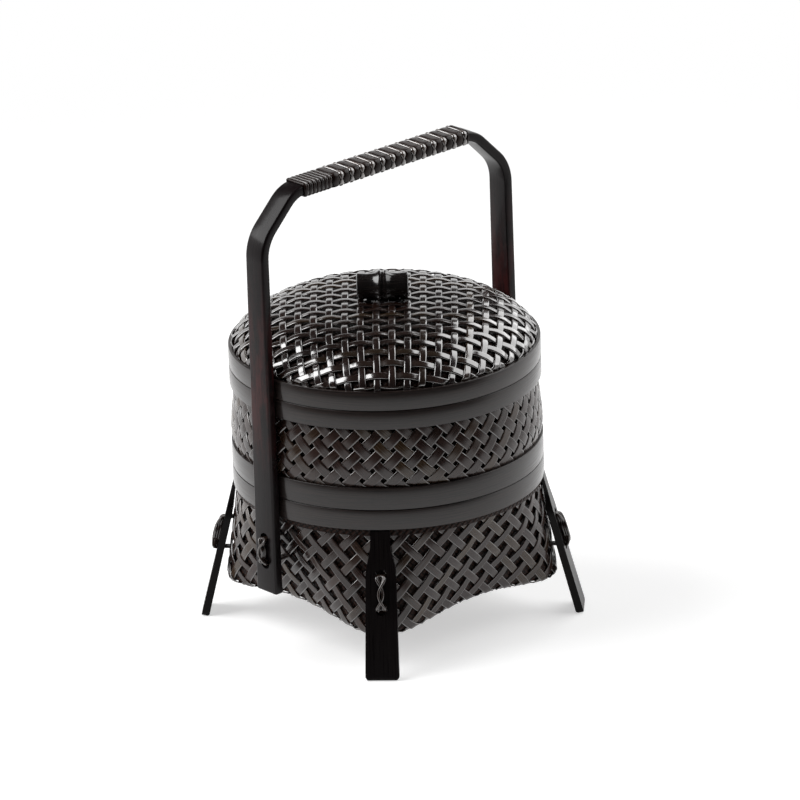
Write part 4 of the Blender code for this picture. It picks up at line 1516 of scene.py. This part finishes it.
def lash_rails(kind):
    """The six strands of a tie at azimuth 0: bowed outwards between two holes, crossed twice so
    that they form three links, and run back through the wall at both ends."""
    high, low = lash_heights(kind)
    turn = QUARTER / 2 if kind == "leg" else 0.0
    if kind == "leg":
        outer = [leg_outer_r(high), leg_outer_r(low)]
    else:
        outer = [BAR_OUT_X, BAR_OUT_X]
    inner = [wall_r_at(turn, z) - 1.3 * MM for z in (high, low)]
    runs = []
    # Each strand's side at its ends, how far it bows out, and the width of its links.
    for aside, bow, link in (
        (1.2, 2.5, 0.95),
        (-1.2, 2.0, 0.95),
        (0.7, 1.6, 0.8),
        (-0.7, 1.1, 0.8),
        (0.3, 0.6, 0.5),
        (-0.3, 0.1, 0.5),
    ):
        run = [Vector((inner[0] - 2 * MM, aside * MM, high))]
        for i in range(29):
            bend = math.pi * i / 28
            down = (1 - math.cos(bend)) / 2
            out = (0.3 + bow) * math.sin(bend) ** 0.6 * MM
            cross = math.copysign(link, aside) * math.sin(3 * bend)
            y = (aside * abs(math.cos(bend)) ** 3 + cross) * MM
            radius = outer[0] + (outer[1] - outer[0]) * down + out
            run.append(Vector((radius, y, high + (low - high) * down)))
        run.append(Vector((inner[1] - 2 * MM, aside * MM, low)))
        runs.append(run)
    return runs


def lay_tube(bm, path, radius, index, around=10):
    """A round strand along a line: a grid rolled into a tube, its seam not yet welded and its ends open.
    """
    uv = bm.loops.layers.uv.get(SPLINT_UV) or bm.loops.layers.uv.new(SPLINT_UV)
    count = len(path)
    grid = bmesh.ops.create_grid(bm, x_segments=count - 1, y_segments=around, size=0.5)["verts"]
    runs = [0.0]
    for a, b in zip(path, path[1:]):
        runs.append(runs[-1] + (b - a).length)
    maps = {}
    up = Vector((0, 0, 1))
    frames = []
    for i in range(count):
        along = (path[min(i + 1, count - 1)] - path[max(i - 1, 0)]).normalized()
        side = along.cross(up)
        side = side.normalized() if side.length > 0.2 else frames[-1][0] if frames else Vector((0, 1, 0))
        side = (side - along * side.dot(along)).normalized()
        up = side.cross(along)
        frames.append((side, up))
    for vert in grid:
        i = round((vert.co.x + 0.5) * (count - 1))
        bend = 2 * math.pi * (vert.co.y + 0.5)
        side, over = frames[i]
        maps[vert] = (runs[i], (bend - math.pi) * radius + index * UV_ROW)
        vert.co = path[i] + (side * math.cos(bend) + over * math.sin(bend)) * radius
    for face in {face for vert in grid for face in vert.link_faces}:
        for loop in face.loops:
            loop[uv].uv = maps[loop.vert]


class BASKET_OT_tie_lashings(bpy.types.Operator):
    """Tie the legs and the handle to the base with linked rattan strands"""

    bl_idname = "basket.tie_lashings"
    bl_label = "Tie Lashings"

    def execute(self, context):
        radius = context.scene.basket_bindings.tie_radius
        material = finish_named("tie_rattan_cane", tie_cane)
        ties = [
            ("leg_lashing_" + name, "leg", QUARTER * i + QUARTER / 2)
            for i, name in enumerate(("back_right", "back_left", "front_left", "front_right"))
        ]
        ties += [("handle_lashing_right", "bar", 0.0), ("handle_lashing_left", "bar", math.pi)]
        for node, kind, turn in ties:
            bm = bmesh.new()
            for index, run in enumerate(lash_rails(kind)):
                path = [Matrix.Rotation(turn, 3, "Z") @ point for point in run]
                lay_tube(bm, path, radius, index)
            bmesh.ops.remove_doubles(bm, verts=bm.verts, dist=0.002 * MM)
            ends = [e for e in bm.edges if e.is_boundary]
            bmesh.ops.holes_fill(bm, edges=ends, sides=12)
            finished(bm, node + "_strands", "base", [node], material, 50.0)
        return {"FINISHED"}


class BASKET_OT_turn_knob(bpy.types.Operator):
    """Turn the lid's knob from a short culm with its node in the middle"""

    bl_idname = "basket.turn_knob"
    bl_label = "Turn Knob"

    def execute(self, context):
        material = finish_named("gloss_lacquer_culm", gloss_knob)
        low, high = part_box("lid_knob")
        # Distance from the node's middle and radius, from the middle out to an end.
        shape = [
            (0.0, 6.3),
            (0.35, 6.3),
            (0.6, 6.55),
            (0.85, 6.85),
            (1.3, 6.9),
            (1.9, 6.65),
            (2.9, 6.0),
            (4.4, 5.6),
            (6.6, 5.5),
            (8.6, 5.65),
            (10.2, 5.8),
            (10.7, 5.7),
            (10.93, 5.4),
            (11.0, 5.0),
            (11.0, 3.4),
            (10.8, 3.0),
            (10.8, 0.0),
        ]
        line = [(r * MM, x * MM) for x, r in reversed(shape)]
        line += [(r * MM, -x * MM) for x, r in shape[1:]]
        bm = bmesh.new()
        verts = [bm.verts.new((r, 0, z)) for r, z in line]
        edges = [bm.edges.new(pair) for pair in zip(verts, verts[1:])]
        bmesh.ops.spin(
            bm,
            geom=verts + edges,
            cent=(0, 0, 0),
            axis=(0, 0, 1),
            angle=2 * math.pi,
            steps=64,
            use_merge=True,
        )
        bmesh.ops.remove_doubles(bm, verts=bm.verts, dist=0.002 * MM)
        map_round(bm, 5.6 * MM)
        uv = bm.loops.layers.uv.get(SPLINT_UV)
        for face in bm.faces:
            for loop in face.loops:
                loop[uv].uv = (loop[uv].uv.y, loop[uv].uv.x)
        axis_z = high.z - 6.9 * MM
        lay = Matrix.Translation((0, 0, axis_z)) @ Matrix.Rotation(LID_TURN, 4, "Z")
        bmesh.ops.transform(bm, matrix=lay @ Matrix.Rotation(QUARTER, 4, "Y"), verts=bm.verts)
        planed = bmesh.ops.bisect_plane(
            bm,
            geom=bm.verts[:] + bm.edges[:] + bm.faces[:],
            plane_co=(0, 0, low.z),
            plane_no=(0, 0, -1),
            clear_outer=True,
        )
        rim = [g for g in planed["geom_cut"] if isinstance(g, bmesh.types.BMEdge)]
        bmesh.ops.holes_fill(bm, edges=rim)
        finished(bm, "turned_culm_knob", "lid", ["lid_knob"], material)
        return {"FINISHED"}


class BASKET_OT_finish_pegs(bpy.types.Operator):
    """Give the pegs that the frame shows their lacquered end grain"""

    bl_idname = "basket.finish_pegs"
    bl_label = "Finish Pegs"

    def execute(self, context):
        material = finish_named("lacquered_peg_end", peg_end)
        for name in ("handle_peg_left", "handle_peg_right", "knob_peg_left", "knob_peg_right"):
            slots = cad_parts[name].data.materials
            for i in range(len(slots)):
                slots[i] = material
            if not slots:
                slots.append(material)
        return {"FINISHED"}


# Stage


def softbox(name, azimuth, elevation, distance, size, level):
    """A soft area lamp round the basket, aimed at its middle. level is its brightness where the
    floor's white is 1."""
    lamp = bpy.data.lights.new(name, "AREA")
    lamp.shape = "RECTANGLE"
    lamp.size, lamp.size_y = size
    lamp.energy = level * math.pi * size[0] * size[1]
    place = bpy.data.objects.new(name, lamp)
    up = math.radians(elevation)
    back = polar(math.radians(azimuth), math.cos(up), math.sin(up))
    place.location = Vector((0, 0, 0.1)) + back * distance
    place.rotation_mode = "QUATERNION"
    place.rotation_quaternion = back.to_track_quat("Z", "Y")
    bpy.context.scene.collection.objects.link(place)
    return place


class BASKET_OT_set_stage(bpy.types.Operator):
    """Set the camera, the pale floor, the white surround and the lamps"""

    bl_idname = "basket.set_stage"
    bl_label = "Set Stage"

    def execute(self, context):
        scene = context.scene
        scene.view_settings.view_transform = "Standard"
        camera = bpy.data.cameras.new("camera")
        camera.lens = 445.8
        camera.sensor_width = 36.0
        camera.clip_start = 0.1
        camera.clip_end = 30.0
        stand = bpy.data.objects.new("camera", camera)
        right = Vector((0.74508078, -0.66624297, -0.03122395))
        up = Vector((0.25749124, 0.24414458, 0.93492871))
        back = right.cross(up).normalized()
        stand.matrix_world = Matrix.Translation((-2.59167, -2.97695, 1.58689)) @ Matrix(
            (right, up, back)
        ).transposed().to_4x4()
        scene.collection.objects.link(stand)
        scene.camera = stand

        self.lay_floor(scene)
        self.light_world(scene)
        softbox("softbox_left", 143, 43, 1.2, (0.9, 1.05), 5.3)
        softbox("softbox_right", -14, 40, 1.2, (1.7, 1.0), 2.4)
        return {"FINISHED"}

    def lay_floor(self, scene):
        """A pale disc that fades into the white surround far from the basket."""
        material = bpy.data.materials.new("pale_paper_floor")
        material.use_nodes = True
        tree = material.node_tree
        shader = tree.nodes["Principled BSDF"]
        shader.inputs["Base Color"].default_value = scene.basket_colours.floor
        shader.inputs["Roughness"].default_value = 0.9
        shader.inputs["Specular IOR Level"].default_value = 0.0
        place = add_node(tree, "ShaderNodeTexCoord").outputs["Object"]
        reach = add_node(tree, "ShaderNodeVectorMath", links={0: place}, operation="LENGTH")
        fade = add_node(
            tree,
            "ShaderNodeMapRange",
            {"From Min": 0.25, "From Max": 0.7, "To Min": 1.0, "To Max": 0.0},
            {"Value": reach.outputs["Value"]},
            interpolation_type="SMOOTHSTEP",
        )
        tree.links.new(fade.outputs["Result"], shader.inputs["Alpha"])
        # Part of its white is its own, to the eye and in reflections, so that shadows stay pale.
        rays = add_node(tree, "ShaderNodeLightPath")
        seen = add_node(
            tree,
            "ShaderNodeMath",
            links={0: rays.outputs["Is Camera Ray"], 1: rays.outputs["Is Glossy Ray"]},
            operation="MAXIMUM",
        )
        own = add_node(tree, "ShaderNodeMath", {1: 0.52}, {0: seen.outputs[0]}, operation="MULTIPLY")
        shader.inputs["Emission Color"].default_value = linear("#ffffff")
        tree.links.new(own.outputs[0], shader.inputs["Emission Strength"])
        bm = bmesh.new()
        bmesh.ops.create_circle(bm, cap_ends=True, segments=96, radius=0.9)
        mesh = bpy.data.meshes.new("floor")
        bm.to_mesh(mesh)
        bm.free()
        mesh.materials.append(material)
        floor = bpy.data.objects.new("floor", mesh)
        scene.collection.objects.link(floor)

    def light_world(self, scene):
        """White to the camera. To the object, a white backdrop behind it in a dim room."""
        world = bpy.data.worlds.new("studio")
        scene.world = world
        world.use_nodes = True
        tree = world.node_tree
        background = tree.nodes["Background"]
        place = add_node(tree, "ShaderNodeTexCoord").outputs["Generated"]
        axes = add_node(tree, "ShaderNodeSeparateXYZ", links={0: place})
        low = add_node(
            tree,
            "ShaderNodeMapRange",
            {"From Min": 0.34, "From Max": 0.5, "To Min": 1.0, "To Max": 0.0},
            {"Value": axes.outputs["Z"]},
            interpolation_type="SMOOTHSTEP",
        )
        facing = add_node(
            tree,
            "ShaderNodeVectorMath",
            {1: (0.657, 0.754, 0.0)},
            {0: place},
            operation="DOT_PRODUCT",
        )
        behind = add_node(
            tree,
            "ShaderNodeMapRange",
            {"From Min": -0.45, "From Max": 0.05},
            {"Value": facing.outputs["Value"]},
            interpolation_type="SMOOTHSTEP",
        )
        backdrop = add_node(
            tree,
            "ShaderNodeMath",
            links={0: low.outputs["Result"], 1: behind.outputs["Result"]},
            operation="MULTIPLY",
        )
        seen = add_node(
            tree,
            "ShaderNodeMapRange",
            {"To Min": 0.02, "To Max": 0.95},
            {"Value": backdrop.outputs["Value"]},
        )
        rays = add_node(tree, "ShaderNodeLightPath")
        strength = add_node(
            tree,
            "ShaderNodeMix",
            {"B": 1.0},
            {"Factor": rays.outputs["Is Camera Ray"], "A": seen.outputs["Result"]},
            data_type="FLOAT",
        )
        background.inputs["Color"].default_value = linear("#ffffff")
        tree.links.new(strength.outputs["Result"], background.inputs["Strength"])


class BASKET_PT_panel(bpy.types.Panel):
    """The basket's pieces and settings"""

    bl_idname = "BASKET_PT_panel"
    bl_label = "Bamboo Basket"
    bl_space_type = "VIEW_3D"
    bl_region_type = "UI"
    bl_category = "Basket"

    def draw(self, context):
        layout = self.layout
        for group in ("basket_weaves", "basket_bindings", "basket_colours"):
            settings = getattr(context.scene, group)
            box = layout.box()
            for name in settings.__annotations__:
                box.prop(settings, name)
        for operator in STEPS:
            layout.operator(operator.bl_idname)


STEPS = (
    BASKET_OT_set_stage,
    BASKET_OT_weave_base,
    BASKET_OT_weave_tray,
    BASKET_OT_weave_lid,
    BASKET_OT_bend_hoops,
    BASKET_OT_bend_handle,
    BASKET_OT_shape_legs,
    BASKET_OT_wrap_handle,
    BASKET_OT_tie_lashings,
    BASKET_OT_turn_knob,
    BASKET_OT_finish_pegs,
)
GROUPS = (BasketWeaves, BasketBindings, BasketColours)


def register():
    for item in (*GROUPS, *STEPS, BASKET_PT_panel):
        bpy.utils.register_class(item)
    bpy.types.Scene.basket_weaves = bpy.props.PointerProperty(type=BasketWeaves)
    bpy.types.Scene.basket_bindings = bpy.props.PointerProperty(type=BasketBindings)
    bpy.types.Scene.basket_colours = bpy.props.PointerProperty(type=BasketColours)


def unregister():
    del bpy.types.Scene.basket_colours
    del bpy.types.Scene.basket_bindings
    del bpy.types.Scene.basket_weaves
    for item in reversed((*GROUPS, *STEPS, BASKET_PT_panel)):
        bpy.utils.unregister_class(item)


def main():
    register()
    bpy.ops.basket.set_stage()
    bpy.ops.basket.weave_base()
    bpy.ops.basket.weave_tray()
    bpy.ops.basket.weave_lid()
    bpy.ops.basket.bend_hoops()
    bpy.ops.basket.bend_handle()
    bpy.ops.basket.shape_legs()
    bpy.ops.basket.wrap_handle()
    bpy.ops.basket.tie_lashings()
    bpy.ops.basket.turn_knob()
    bpy.ops.basket.finish_pegs()


if __name__ == "__main__":
    main()
